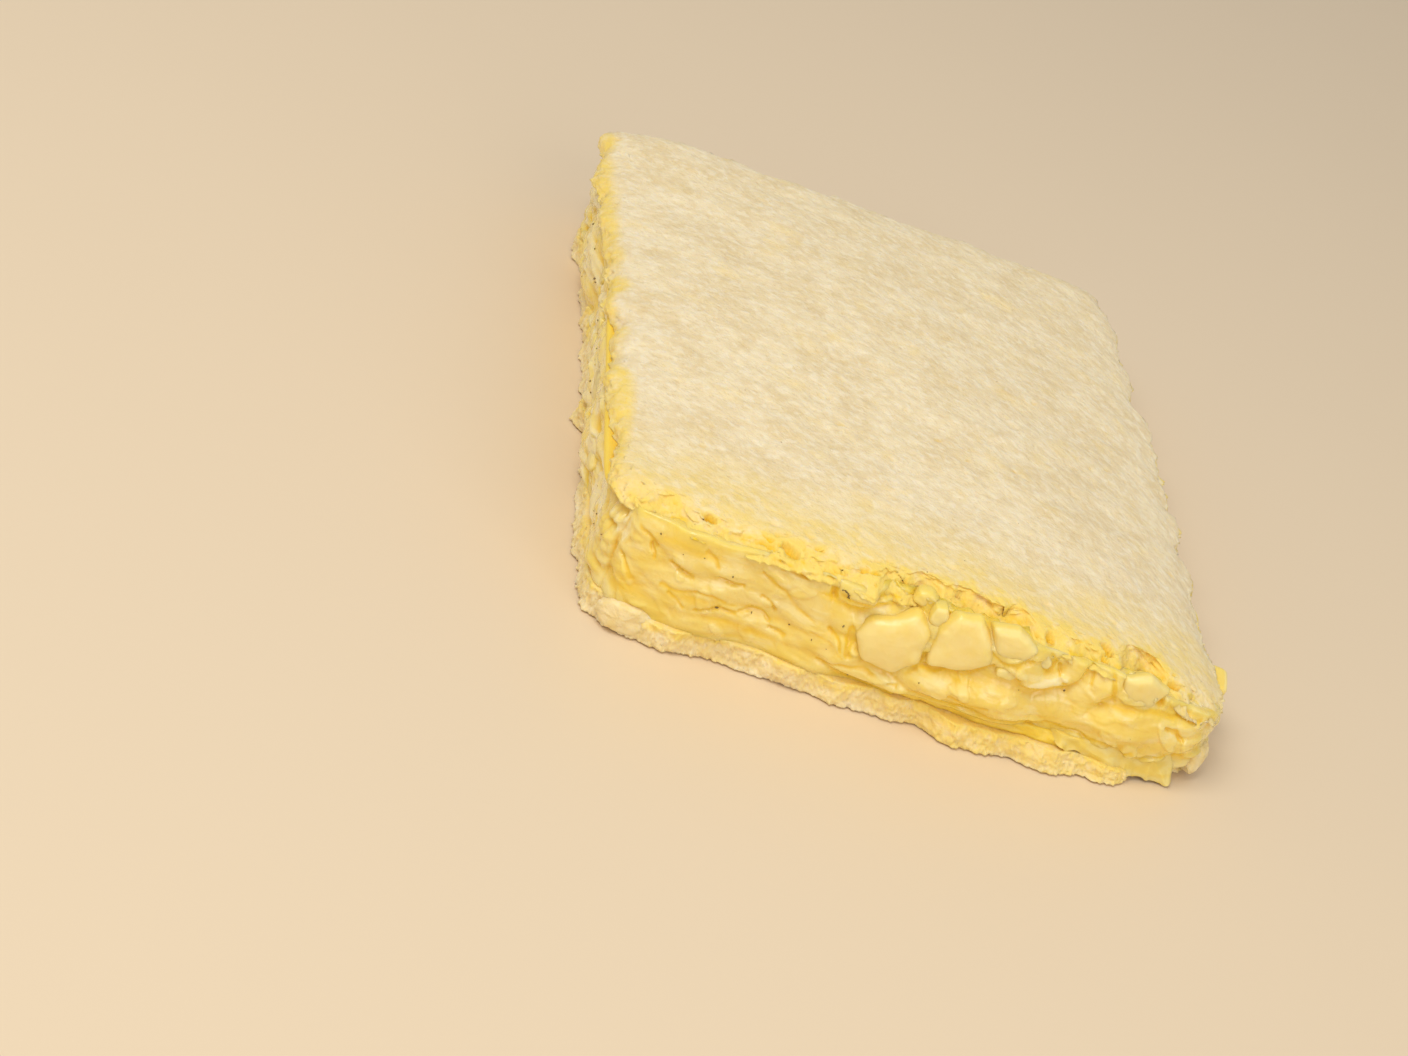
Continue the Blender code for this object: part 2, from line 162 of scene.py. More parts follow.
# Large pieces of egg white: how far the face stands out, and the outline's corners, x and height
EGG_WHITES = (
    (1.15, ((-10.6, 12.6), (-9.0, 15.4), (-5.8, 16.3), (-3.2, 18.3), (-0.5, 15.6), (-0.5, 10.8),
            (-3.4, 8.0), (-8.2, 8.8))),
    (1.35, ((0.0, 17.0), (2.0, 20.2), (5.2, 20.7), (7.4, 17.6), (9.3, 14.4), (6.6, 12.2),
            (0.2, 10.9))),
    (1.45, ((6.9, 20.2), (10.6, 20.7), (14.3, 18.4), (13.0, 16.4), (10.4, 15.3), (8.6, 16.4))),
    (1.05, ((28.2, 16.8), (32.0, 17.6), (36.8, 15.6), (34.2, 12.2), (29.4, 12.4))),
)
EGG_DEPTH = 7.5 * MM

# Holes in the stained front edge of the upper bread: x, distance in from the edge, radii, mm
EDGE_HOLES = (
    (-27.0, 1.6, 2.2, 0.6),
    (-22.2, 2.4, 1.2, 0.8),
    (-34.0, 3.4, 1.1, 0.6),
    (-16.0, 1.4, 1.8, 0.5),
    (-6.2, 3.6, 1.2, 0.7),
    (16.3, 2.1, 0.8, 1.5),
    (21.4, 1.0, 1.0, 1.2),
    (25.6, 3.9, 0.8, 1.1),
    (25.4, 2.1, 0.6, 0.9),
    (30.3, 3.8, 1.5, 0.6),
    (33.2, 4.6, 1.4, 0.6),
    (37.6, 2.6, 1.0, 0.8),
    (41.2, 1.6, 0.9, 0.6),
    (10.0, 4.6, 1.2, 0.5),
    (3.0, 5.0, 0.9, 0.5),
)

# Which way the crumb's fibres run in plan
FIBRE_TURN = math.radians(42)

# Small bits of egg in mm: place round the rim, height, half width, half height, how far out
SMALL_EGG_BITS = (
    (-2.6, 19.3, 1.9, 1.3, 0.4),
    (-0.3, 18.4, 1.3, 1.6, 0.4),
    (15.9, 16.4, 1.5, 1.0, 0.4),
    (11.6, 13.6, 1.8, 0.8, 0.4),
    (23.9, 4.4, 2.8, 1.0, 0.5),
    (59.5, 8.6, 2.6, 2.1, 2.8),
)
SMALL_EGG_SEEDED = 30

# Strands of chicken down the front left corner, with the same values as the front flakes
CORNER_STRANDS = (
    (-46.8, 15.4, 4.2, 0.42, 76, 0.75, 0.9),
    (-48.2, 12.6, 5.0, 0.45, 84, 0.85, 0.9),
    (-45.4, 13.4, 3.0, 0.36, 70, 0.55, 0.9),
    (-49.8, 13.2, 5.0, 0.48, 89, 0.85, 0.9),
    (-51.6, 11.6, 5.0, 0.42, 96, 0.75, 0.9),
)

# Seeded relief round all four walls: how many of each
CHIP_COUNT = 430
FIBRE_COUNT = 330
CREASE_COUNT = 110

# Pepper on the front wall in mm: x and height, and one curled bit of herb
PEPPER_PLACES = (
    (-40.6, 17.6), (-33.8, 16.3), (-29.2, 14.9), (-36.8, 15.8), (-19.2, 9.7), (-15.7, 9.1),
    (-13.4, 8.5), (-29.6, 9.0), (14.2, 11.2), (32.6, 8.0), (0.2, 8.4), (-12.6, 13.0),
    (29.0, 3.4), (16.9, 17.4), (21.0, 12.0), (-24.6, 9.6), (-9.0, 5.2),
)
PEPPER_SEEDED = 50
HERB_MIDDLE = (-14.3, 17.5)
HERB_RADII = (0.85, 0.95)

# Where the upper slice bows out past the plan, and by how much in mm
BACK_CORNER_PLACE = (-44 * MM, 64 * MM)
BACK_CORNER_SPAN = 9 * MM
BACK_CORNER_BOW = 1.2
BACK_LEFT_BOW = 1.5
RIGHT_BOW = 1.6

# Where the upper slice's top rises at the back left
RAISED_PLACE = (-38 * MM, 60 * MM)
RAISED_SPAN = 14 * MM

# Creases of the front wall in mm: width, depth, and the line's points, x and height
CREASES = (
    (0.38, 1.3, ((-37.6, 14.2), (-36.2, 13.2), (-34.4, 12.6))),
    (0.34, 0.8, ((-45.0, 11.8), (-43.6, 10.6), (-42.2, 9.4))),
    (0.32, 0.7, ((-43.6, 17.6), (-42.0, 16.6), (-40.4, 15.2))),
    (0.30, 0.7, ((-32.2, 7.8), (-29.6, 8.8), (-27.0, 9.0))),
    (0.30, 0.7, ((-26.4, 9.4), (-24.2, 9.9), (-21.8, 9.6))),
    (0.34, 1.0, ((-21.4, 8.7), (-19.4, 8.0))),
    (0.50, 0.9, ((-11.0, 13.4), (-10.7, 11.0), (-9.9, 9.0))),
    (0.36, 0.7, ((-0.2, 12.6), (-0.3, 9.8), (-1.4, 8.4))),
    (0.32, 0.9, ((0.2, 10.7), (3.6, 11.4), (6.9, 11.9), (9.4, 13.8))),
    (0.34, 0.8, ((8.4, 16.1), (10.0, 15.1), (12.0, 15.3), (13.8, 16.4))),
    (0.28, 0.4, ((-25.0, 16.6), (-21.4, 14.6), (-18.6, 13.0), (-16.0, 12.2))),
    (0.32, 0.8, ((22.0, 6.6), (27.0, 5.6), (33.0, 4.9), (38.0, 4.5), (43.0, 4.9))),
    (0.32, 0.6, ((1.0, 6.8), (6.0, 6.0), (12.0, 5.9), (19.0, 6.4))),
    (0.32, 0.7, ((27.0, 11.2), (31.0, 12.0), (36.0, 12.1), (43.0, 11.2))),
    (0.36, 0.7, ((-15.6, 17.6), (-11.0, 17.2), (-7.0, 17.6))),
    (0.34, 0.8, ((16.6, 17.6), (17.6, 16.0), (17.2, 14.8))),
    (0.34, 0.7, ((26.6, 16.8), (27.4, 14.6), (28.6, 12.4))),
    (0.28, 0.5, ((-16.0, 10.2), (-12.6, 9.2), (-10.6, 8.4))),
    (0.28, 0.5, ((-38.0, 10.0), (-33.0, 10.6), (-29.0, 9.9))),
    (0.30, 0.6, ((-13.6, 6.4), (-8.0, 6.9), (-2.0, 6.2))),
    (0.34, 0.9, ((24.4, 3.4), (27.4, 3.7))),
    (0.26, 1.0, ((-41.2, 15.4), (-40.4, 14.2), (-40.2, 13.2))),
    (0.26, 0.9, ((-33.6, 17.2), (-32.2, 16.4), (-31.4, 15.4))),
    (0.24, 0.8, ((-30.6, 13.6), (-28.8, 13.0), (-27.4, 13.1))),
    (0.26, 0.9, ((-24.4, 12.6), (-22.8, 12.0), (-21.8, 11.2))),
    (0.30, 1.2, ((-13.6, 11.6), (-12.2, 10.6), (-11.4, 9.4))),
    (0.26, 0.8, ((-36.4, 9.6), (-34.8, 9.0), (-33.8, 8.2))),
    (0.28, 1.0, ((18.4, 15.6), (19.2, 14.2), (20.4, 13.2))),
    (0.28, 1.0, ((23.4, 17.0), (24.0, 15.6), (24.0, 14.4))),
    (0.26, 0.8, ((37.4, 10.2), (39.6, 9.4), (41.2, 8.2))),
    (0.26, 0.8, ((5.4, 8.2), (8.6, 7.6), (11.0, 7.7))),
    (0.50, 1.8, ((-22.6, 18.8), (-21.0, 18.4), (-19.6, 18.4))),
    (0.55, 1.8, ((-16.8, 19.0), (-15.8, 18.2), (-15.4, 16.8))),
    (0.40, 1.0, ((-9.4, 18.8), (-6.6, 18.4), (-4.4, 18.2))),
)

# Patches of painted shade on the front wall, deep yellow where its crevices lie in shade, in mm: x,
# height, half length, half height
CREVICE_SHADE_PATCHES = (
    (8.0, 4.9, 10.0, 1.5),
    (24.0, 4.6, 10.0, 1.7),
    (-43.0, 8.0, 3.6, 2.0),
    (-30.0, 9.4, 8.0, 0.9),
    (-10.4, 10.8, 1.2, 3.0),
    (-14.0, 16.4, 4.0, 0.8),
    (-38.0, 16.8, 7.0, 1.0),
    (-26.0, 6.9, 6.0, 0.8),
    (17.2, 16.4, 1.2, 1.8),
    (27.4, 14.4, 1.0, 1.8),
    (36.0, 11.9, 7.0, 0.7),
    (3.6, 10.6, 5.0, 0.7),
)

# Bread lumps pressed against the front wall in mm: place, height, half length, half height, out
BREAD_LUMPS = (
    (47.0, 3.4, 2.3, 2.3, 1.9),
    (-41.4, 2.7, 4.6, 2.2, 0.7),
)

# Columns of the rings in front, on the right, at the back and on the left
RIM_COLUMNS = (400, 560, 400, 560)
SLICE_COLUMNS = (300, 240, 160, 240)
WALL_COLUMNS = (560, 250, 250, 290)
LOW_BREAD_COLUMNS = (700, 820, 580, 820)

# Colours of the crumb: its dry and moist parts, fibres, spots and specks, and the stains
BREAD_LIGHT = (0.88, 0.745, 0.485)
BREAD_DARK = (0.76, 0.60, 0.335)
BREAD_FIBRE = (0.95, 0.87, 0.67)
BREAD_MOIST = (0.73, 0.56, 0.28)
BREAD_DOT = (0.66, 0.49, 0.23)
BREAD_WARM = (0.90, 0.67, 0.24)
BREAD_SPECK = (0.26, 0.15, 0.05)
STAIN_YELLOW = (0.91, 0.665, 0.13)
STAIN_ORANGE = (0.88, 0.55, 0.0)

# Colours of the filling, the egg, the cheese and the specks
CREAM_MIDDLE = (0.88, 0.645, 0.130)
CREAM_PALE = (0.92, 0.735, 0.28)
# Deep yellow painted as shade in the filling's dents, creases and crevices
CREAM_PAINTED_SHADE = (0.90, 0.59, 0.025)
CREAM_VEIL = (0.94, 0.79, 0.38)
CREAM_THREAD = (0.86, 0.57, 0.08)
CREAM_WHITE = (0.95, 0.83, 0.52)
# Egg white, yellow partly from its coat of cream and partly as painted yellow bounce light
EGG_CREAM_AND_BOUNCE = (0.94, 0.735, 0.28)
CHEESE_YELLOW = (0.95, 0.65, 0.07)
CHEESE_DRIFT = (0.93, 0.66, 0.12)
SHEET_DEEP = (0.87, 0.62, 0.12)
SHEET_PALE = (0.91, 0.71, 0.24)
SPECK_BROWN = (0.19, 0.10, 0.025)
SPECK_OLIVE = (0.24, 0.17, 0.05)

# The stage: the floor, the soft lights that face the middle of the sandwich, and the camera
FLOOR_PALE = (0.80, 0.65, 0.46)
FLOOR_TONE = (0.74, 0.60, 0.42)
FLOOR_REACH = 3.0
KEY_PLACE = (-0.35, -0.25, 0.75)
KEY_SIZE = 0.5
KEY_COLOUR = (1.0, 0.97, 0.92)
FILL_PLACE = (0.25, -0.75, 0.35)
FILL_SIZE = 0.6
FILL_COLOUR = (1.0, 0.96, 0.90)
SKY_COLOUR = (1.0, 0.98, 0.95, 1)
CAMERA_TARGET = (-0.02673, -0.02658, 0)
SENSOR_WIDTH = 36


# The plan, the heights and the rim
def mix(a, b, share):
    """The value that lies the given share of the way from a to b."""
    return a + (b - a) * share


def smooth(value):
    """An S-shaped step from 0 to 1 as value goes from 0 to 1."""
    value = np.clip(value, 0, 1)
    return value * value * (3 - 2 * value)


def past(x, place, width):
    """0 up to a place, then rising to 1 over a width, both in mm."""
    return smooth((x - place * MM) / (width * MM))


def between(x, first, last, rise, fall):
    """1 between two places, rising and falling over the widths given, all in mm."""
    return past(x, first, rise) * past(-x, -last, fall)


def near_side(place, sharpness=8):
    """1 where a square coordinate is 1, fading to 0 a little way in, sooner if it is sharper."""
    return smooth(place * sharpness - (sharpness - 1))


def hill(x, y, place, span):
    """1 at a plan place, falling off round it as a bell curve of the given span."""
    return np.exp(-((x - place[0]) ** 2 + (y - place[1]) ** 2) / span**2)


def front_y(t):
    """The bowed front edge, for t from -1 at its left end to 1."""
    t = np.clip(t, -1, 1)
    return FRONT_Y - (BELLY + BELLY_SKEW * t) * (1 - t * t)


def plan(u, v, reach, power=CORNER_POWER):
    """The plan point of square coordinates u, v, where the rim stands out by reach.

    u and v run from -1 to 1. A power of both rounds the square's corners, u then gives x, and v
    runs between the bowed front edge and the straight back edge.
    """
    most = np.maximum(np.maximum(np.abs(u), np.abs(v)), 1e-9)
    corner = most / (np.abs(u) ** power + np.abs(v) ** power + 1e-150) ** (1 / power)
    out_x, out_y = (u / most) ** 9, (v / most) ** 9
    size = np.hypot(out_x, out_y) + 1e-9
    x = u * corner * WIDTH / 2 + out_x / size * reach * most**6
    y = mix(front_y(2 * x / WIDTH), BACK_Y, (v * corner + 1) / 2)
    return x, y + out_y / size * reach * most**6


def square(x, y):
    """Square coordinates of a plan point, without the rounding of the corners."""
    t = np.clip(2 * x / WIDTH, -1, 1)
    front = front_y(t)
    return t, np.clip(2 * (y - front) / (BACK_Y - front) - 1, -1, 1)


def cubic(terms, t):
    """A cubic's value at t, its terms from the constant one up."""
    return terms[0] + t * (terms[1] + t * (terms[2] + t * terms[3]))


def height(x, y):
    """Height of the sandwich's top over a plan point."""
    t, v = square(x, y)
    edge = mix(cubic(FRONT_HEIGHTS, t), cubic(BACK_HEIGHTS, t), (v + 1) / 2)
    return edge + CROWN * (1 - t * t) * (1 - v * v)


def rim_share(x, y):
    """0 over most of the plan, rising to 1 at its edge."""
    t, v = square(x, y)
    return np.maximum(np.abs(t), np.abs(v)) ** RIM_POWER


def at_tip(x, y):
    """1 where the lower cheese slice's corner hangs out, fading to 0 round it."""
    return hill(x, y, TIP_PLACE, TIP_SPAN)


def low_bread_top(x, y):
    """Height of the lower slice's top over a plan point."""
    return height(x, y) * mix(*LOW_BREAD, rim_share(x, y)) - TIP_DROP * at_tip(x, y)


def high_bread_bottom(x, y):
    """Height of the upper slice's underside over a plan point."""
    return height(x, y) * (1 - mix(*HIGH_BREAD, rim_share(x, y)))


def beyond_slice(x, y, place):
    """How far a plan point lies outside a cheese slice, negative inside it."""
    cos, sin = math.cos(place[2]), math.sin(place[2])
    across, along = x - place[0], y - place[1]
    local_x, local_y = across * cos + along * sin, along * cos - across * sin
    return np.maximum(np.abs(local_x) - SLICE_SIZE[0] / 2, np.abs(local_y) - SLICE_SIZE[1] / 2)


def filling_top(x, y):
    """Height of the filling's top: under the cheese, rising past it to the upper slice."""
    off = smooth((beyond_slice(x, y, HIGH_SLICE_PLACE) - SLICE_RISE) / SLICE_MARGIN)
    return high_bread_bottom(x, y) - height(x, y) * CHEESE * (1 - off)


def torn(x):
    """How far the upper bread's front edge is torn back at x."""
    return sum(
        depth * smooth((x - first) / TEAR_FADE) * smooth((last - x) / TEAR_FADE)
        for first, last, depth in TEARS
    )


def left_trim(u):
    """How far the layers under the upper slice stand back on the left side."""
    return 1.1 * MM * near_side(-u, 12)


def ripple(seed, size, waves, angle):
    """A wavy line round the rim: a sum of sines of the angle, with seeded phases."""
    phases = np.random.default_rng(seed).uniform(0, 2 * math.pi, len(waves))
    total = sum(np.sin(count * angle + phase) for count, phase in zip(waves, phases))
    return size * total / math.sqrt(len(waves))


def top_edge(angle):
    """How far the upper slice's edge wanders out."""
    return ripple(3, 0.8 * MM, (3, 7, 13, 19, 28, 37), angle)


def low_edge(angle):
    """How far the lower slice's edge wanders out."""
    return ripple(5, 0.8 * MM, (4, 9, 15, 23, 31, 40), angle)


def filling_edge(angle):
    """How far the filling's edge wanders out."""
    return ripple(8, 0.7 * MM, (5, 8, 14, 22), angle)


def rim_square(counts):
    """Square coordinates right round the rim from the front left corner.

    counts gives the columns in front, on the right, at the back and on the left.
    """
    front, right, back, left = (np.arange(count) / count * 2 - 1 for count in counts)
    u = np.concatenate([front, np.ones(counts[1]), -back, -np.ones(counts[3])])
    v = np.concatenate([-np.ones(counts[0]), right, np.ones(counts[2]), -left])
    return u, v


class Rim:
    """The plan's edge as a closed line, measured in metres from the middle of the front."""

    def __init__(self, counts):
        u, v = rim_square(counts)
        self.x, self.y = plan(u, v, 0)
        steps = np.hypot(np.roll(self.x, -1) - self.x, np.roll(self.y, -1) - self.y)
        self.length = steps.sum()
        s = np.concatenate([[0], np.cumsum(steps)[:-1]])
        self.s = s - np.interp(0, self.x[: counts[0]], s[: counts[0]])
        ahead_x = np.roll(self.x, -3) - np.roll(self.x, 3)
        ahead_y = np.roll(self.y, -3) - np.roll(self.y, 3)
        size = np.hypot(ahead_x, ahead_y)
        self.out_x, self.out_y = ahead_y / size, -ahead_x / size

    def turned(self, s):
        """The same place as s, brought into the range of this line's own distances."""
        return (s - self.s[0]) % self.length + self.s[0]

    def read(self, values, s):
        """The value at distance s round the edge, between the two nearest."""
        ends = np.append(self.s, self.s[0] + self.length)
        return np.interp(self.turned(s), ends, np.append(values, values[0]))

    def outward(self, s):
        """The direction out of the plan at distance s, as x and y."""
        return self.read(self.out_x, s), self.read(self.out_y, s)

    def at(self, s, out):
        """The plan point at distance s round the edge, standing out by out."""
        out_x, out_y = self.outward(s)
        return self.read(self.x, s) + out_x * out, self.read(self.y, s) + out_y * out


RIM = Rim(RIM_COLUMNS)


# Noise, meshes and pieces
def noise(points, size, seed):
    """Smooth noise from about -1 to 1.

    Random values stand on a grid of cells of the given size, one size or one for each axis. A
    point takes a blend of its cell's eight corners, eased so that the slope is 0 at each corner.
    """
    table = np.random.default_rng(seed).uniform(-1, 1, (32, 32, 32))
    place = points / np.asarray(size)
    cell = np.floor(place).astype(int)
    part = smooth(place - cell)
    total = 0
    for corner in range(8):
        step = np.array([corner & 1, corner >> 1 & 1, corner >> 2])
        share = np.where(step == 1, part, 1 - part).prod(axis=-1)
        i, j, k = np.moveaxis((cell + step) % 32, -1, 0)
        total = total + share * table[i, j, k]
    return total


def layered_noise(points, size, seed, layers=3):
    """Noise with finer noise on it: each layer has half the size and half the strength."""
    sizes = np.asarray(size, float)
    return sum(noise(points, sizes / 2**n, seed + n) / 2**n for n in range(layers))


def stack(x, y, z):
    """Points from their coordinates, which may be single values."""
    return np.stack(np.broadcast_arrays(x, y, z), axis=-1)


def make_piece(name, points, quads, finish, triangles=None, facts=None, replaced=()):
    """A smooth mesh object that rides on the sandwich, with one value a point for each fact."""
    mesh = bpy.data.meshes.new(name)
    loops = quads.reshape(-1)
    starts = np.arange(len(quads)) * 4
    if triangles is not None:
        starts = np.concatenate([starts, len(loops) + np.arange(len(triangles)) * 3])
        loops = np.concatenate([loops, triangles.reshape(-1)])
    mesh.vertices.add(len(points))
    mesh.vertices.foreach_set("co", points.astype(np.float32).reshape(-1))
    mesh.loops.add(len(loops))
    mesh.loops.foreach_set("vertex_index", loops.astype(np.int32))
    mesh.polygons.add(len(starts))
    mesh.polygons.foreach_set("loop_start", starts.astype(np.int32))
    mesh.update(calc_edges=True)
    mesh.validate()
    mesh.shade_smooth()
    for key, values in (facts or {}).items():
        layer = mesh.attributes.new(key, "FLOAT", "POINT")
        layer.data.foreach_set("value", values.astype(np.float32).reshape(-1))
    mesh.materials.append(finish)
    made = bpy.data.objects.new(name, mesh)
    bpy.context.scene.collection.objects.link(made)
    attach(made, "root")
    if replaced:
        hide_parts(*replaced)
    return made


def joined(bodies):
    """Several bodies, each points, quads and triangles, as one."""
    starts = np.cumsum([0] + [len(points) for points, _, _ in bodies])
    points = [body[0] for body in bodies]
    quads = [body[1] + start for body, start in zip(bodies, starts)]
    triangles = [body[2] + start for body, start in zip(bodies, starts)]
    return np.concatenate(points), np.concatenate(quads), np.concatenate(triangles)


def grid_faces(table):
    """Quads between the point numbers of a table's neighbouring rows and columns."""
    corners = (table[:-1, :-1], table[1:, :-1], table[1:, 1:], table[:-1, 1:])
    return np.stack(corners, axis=-1).reshape(-1, 4)


def box_surface(us, vs, ws):
    """Points and quads on the outside of a box lattice, as u, v, w arrays and corner numbers."""
    shape = (len(us), len(vs), len(ws))
    outside = np.ones(shape, bool)
    outside[1:-1, 1:-1, 1:-1] = False
    number = np.full(shape, -1)
    number[outside] = np.arange(outside.sum())
    grid = np.meshgrid(us, vs, ws, indexing="ij")
    u, v, w = (axis[outside] for axis in grid)
    quads = [
        grid_faces(number[:, :, -1]),
        grid_faces(number[:, :, 0])[:, ::-1],
        grid_faces(number[:, 0, :]),
        grid_faces(number[:, -1, :])[:, ::-1],
        grid_faces(number[-1, :, :]),
        grid_faces(number[0, :, :])[:, ::-1],
    ]
    return u, v, w, np.concatenate(quads)


def ring_faces(rings, top, under):
    """Quads between closed rings of point numbers, one a row, and triangles to their poles.

    Rows run from the top down. A pole of None leaves that end open.
    """
    ahead = np.roll(rings, -1, axis=1)
    quads = np.stack([rings[:-1], rings[1:], ahead[1:], ahead[:-1]], axis=-1).reshape(-1, 4)
    ends = ((top, rings[0], ahead[0]), (under, ahead[-1], rings[-1]))
    fans = [stack(*end) for end in ends if end[0] is not None]
    return quads, np.concatenate(fans)


def ring_body(counts, profile):
    """A closed body of rings from a pole on top, over the rim, to a pole underneath.

    profile lists (share of the way from the middle to the rim, height share) from the top down.
    Returns u, v, w of all points, quads and triangles.
    """
    rim_u, rim_v = rim_square(counts)
    reach, level = np.array(profile).T
    u = np.concatenate([(reach[:, None] * rim_u).reshape(-1), [0, 0]])
    v = np.concatenate([(reach[:, None] * rim_v).reshape(-1), [0, 0]])
    w = np.concatenate([np.repeat(level, len(rim_u)), [1, 0]])
    size = len(profile) * len(rim_u)
    rings = np.arange(size).reshape(len(profile), len(rim_u))
    return u, v, w, *ring_faces(rings, size, size + 1)


def lid_body(us, vs, ws, under):
    """A lattice's top and four sides, closed underneath by rings that shrink to a pole.

    under lists the rings' shares of the way from the middle to the rim. Returns u, v, w of all
    points, quads, triangles, and which points lie on the sides.
    """
    wide, long = len(us), len(vs)
    grid_u, grid_v = np.meshgrid(us, vs, indexing="ij")
    number = np.arange(wide * long).reshape(wide, long)
    i = np.concatenate([np.arange(wide - 1), np.full(long - 1, wide - 1),
                        np.arange(wide - 1, 0, -1), np.zeros(long - 1, int)])
    j = np.concatenate([np.zeros(wide - 1, int), np.arange(long - 1),
                        np.full(wide - 1, long - 1), np.arange(long - 1, 0, -1)])
    levels = np.concatenate([ws[-2::-1], np.zeros(len(under))])
    shares = np.concatenate([np.ones(len(ws) - 1), under])
    u = np.concatenate([grid_u.reshape(-1), (shares[:, None] * us[i]).reshape(-1), [0]])
    v = np.concatenate([grid_v.reshape(-1), (shares[:, None] * vs[j]).reshape(-1), [0]])
    w = np.concatenate([np.ones(wide * long), np.repeat(levels, len(i)), [0]])
    rings = wide * long + np.arange(len(shares) * len(i)).reshape(len(shares), len(i))
    rings = np.concatenate([number[i, j][None], rings])
    sides, triangles = ring_faces(rings, None, len(u) - 1)
    quads = np.concatenate([grid_faces(number), sides])
    return u, v, w, quads, triangles, rings[: len(ws)].reshape(-1)


def soften(grid, reach):
    """The mean over a small window of rows and columns, round the closed columns."""
    total, count = np.zeros_like(grid), 0
    for step in range(-reach, reach + 1):
        total += np.roll(grid, step, axis=1)
        count += 1
    across = total / count
    padded = np.pad(across, ((reach, reach), (0, 0)), mode="edge")
    rows = grid.shape[0]
    return sum(padded[step : step + rows] for step in range(2 * reach + 1)) / (2 * reach + 1)


def rows_softened(values, shape, reach):
    """Ring values softened over a small window, the two poles left as they are."""
    grid = soften(values[:-2].reshape(shape), reach)
    return np.concatenate([grid.reshape(-1), values[-2:]])


def outline_radius(corners, turns, rounding):
    """Distance from the middle to a polygon's edge for each angle, with its corners rounded.

    Each angle's ray meets one edge. The distances are then averaged over a range of angles.
    """
    fine = np.arange(720) / 720 * 2 * math.pi
    ray = np.stack([np.cos(fine), np.sin(fine)], axis=-1)
    best = np.zeros(720)
    for first, second in zip(corners, np.roll(corners, -1, axis=0)):
        edge = second - first
        across = ray[:, 0] * edge[1] - ray[:, 1] * edge[0]
        across = np.where(np.abs(across) < 1e-12, 1e-12, across)
        reach = (first[0] * edge[1] - first[1] * edge[0]) / across
        share = (first[0] * ray[:, 1] - first[1] * ray[:, 0]) / across
        best = np.where((reach > 0) & (share >= 0) & (share <= 1), np.maximum(best, reach), best)
    window = int(rounding / (2 * math.pi) * 720 / 2)
    softened = sum(np.roll(best, step) for step in range(-window, window + 1))
    return np.interp(turns, fine, softened / (2 * window + 1), period=2 * math.pi)


def pillow(corners, depth, seed, rounding=0.30, sides=96, rings=36):
    """A flat-faced pillow with the given outline, as (across, up, out) points and its faces.

    Rings run from the front pole to the back one. The outline is scaled by the sine of the
    ring's angle to the power 0.30, and the depth by its cosine to the power 0.62.
    """
    turns = np.arange(sides) / sides * 2 * math.pi
    tilt = (np.arange(rings) + 0.5) / rings * math.pi
    radius = outline_radius(corners, turns, rounding) + 0.25 * MM
    spread = np.sin(tilt) ** 0.30
    out = np.sign(np.cos(tilt)) * np.abs(np.cos(tilt)) ** 0.62 * depth / 2
    across = spread[:, None] * radius * np.cos(turns)
    up = spread[:, None] * radius * np.sin(turns)
    points = np.stack([across, up, np.broadcast_to(out[:, None], across.shape)], axis=-1)
    poles = np.array([[0, 0, depth / 2], [0, 0, -depth / 2]])
    points = np.concatenate([points.reshape(-1, 3), poles])
    swell = 0.26 * MM * layered_noise(points, 3.4 * MM, seed, 3)
    tip = 0.35 * MM * noise(points, 4.5 * MM, seed + 7)
    size = np.linalg.norm(points, axis=-1, keepdims=True)
    points = points * (1 + swell[:, None] / size)
    points[:, 2] += tip * smooth(points[:, 2] / (0.4 * depth))
    number = np.arange(sides * rings).reshape(rings, sides)
    return points, *ring_faces(number, sides * rings, sides * rings + 1)


def crumb_shape():
    """The twelve corners and twenty faces of an icosahedron, with its points at radius 1."""
    golden = (1 + math.sqrt(5)) / 2
    corners = []
    for a in (-1, 1):
        for b in (-golden, golden):
            corners += [(0, a, b), (a, b, 0), (b, 0, a)]
    corners = np.array(corners) / math.hypot(1, golden)
    gaps = np.linalg.norm(corners[:, None] - corners[None], axis=-1)
    near = (gaps > 0.1) & (gaps < 1.1)
    faces = []
    for i in range(12):
        for j in range(i + 1, 12):
            for k in range(j + 1, 12):
                if near[i, j] and near[j, k] and near[i, k]:
                    normal = np.cross(corners[j] - corners[i], corners[k] - corners[i])
                    order = (i, j, k) if normal @ corners[i] > 0 else (i, k, j)
                    faces.append(order)
    return corners, np.array(faces)


# Shader nodes
class Value:
    """A node's output. Sums with it, on either side, add Math nodes."""

    def __init__(self, tree, output):
        self.tree, self.output = tree, output

    def _math(self, operation, first, second):
        node = self.tree.nodes.new("ShaderNodeMath")
        node.operation = operation
        for socket, value in zip(node.inputs, (first, second)):
            put(self.tree, socket, value)
        return Value(self.tree, node.outputs[0])

    def __add__(self, other):
        return self._math("ADD", self, other)

    def __radd__(self, other):
        return self._math("ADD", other, self)

    def __sub__(self, other):
        return self._math("SUBTRACT", self, other)

    def __rsub__(self, other):
        return self._math("SUBTRACT", other, self)

    def __mul__(self, other):
        return self._math("MULTIPLY", self, other)

    def __rmul__(self, other):
        return self._math("MULTIPLY", other, self)

    def maximum(self, other):
        return self._math("MAXIMUM", self, other)

    def minimum(self, other):
        return self._math("MINIMUM", self, other)

    def step(self, low, high):
        """An S-shaped step from 0 at low to 1 at high."""
        node = self.tree.nodes.new("ShaderNodeMapRange")
        node.interpolation_type = "SMOOTHSTEP"
        for name, value in (("Value", self), ("From Min", low), ("From Max", high)):
            put(self.tree, node.inputs[name], value)
        return Value(self.tree, node.outputs[0])


def put(tree, socket, value):
    """Links a Value to a socket, or sets a number or a colour on it."""
    if isinstance(value, Value):
        tree.links.new(value.output, socket)
    elif isinstance(value, tuple) and socket.type == "RGBA" and len(value) == 3:
        socket.default_value = (*value, 1)
    else:
        socket.default_value = value


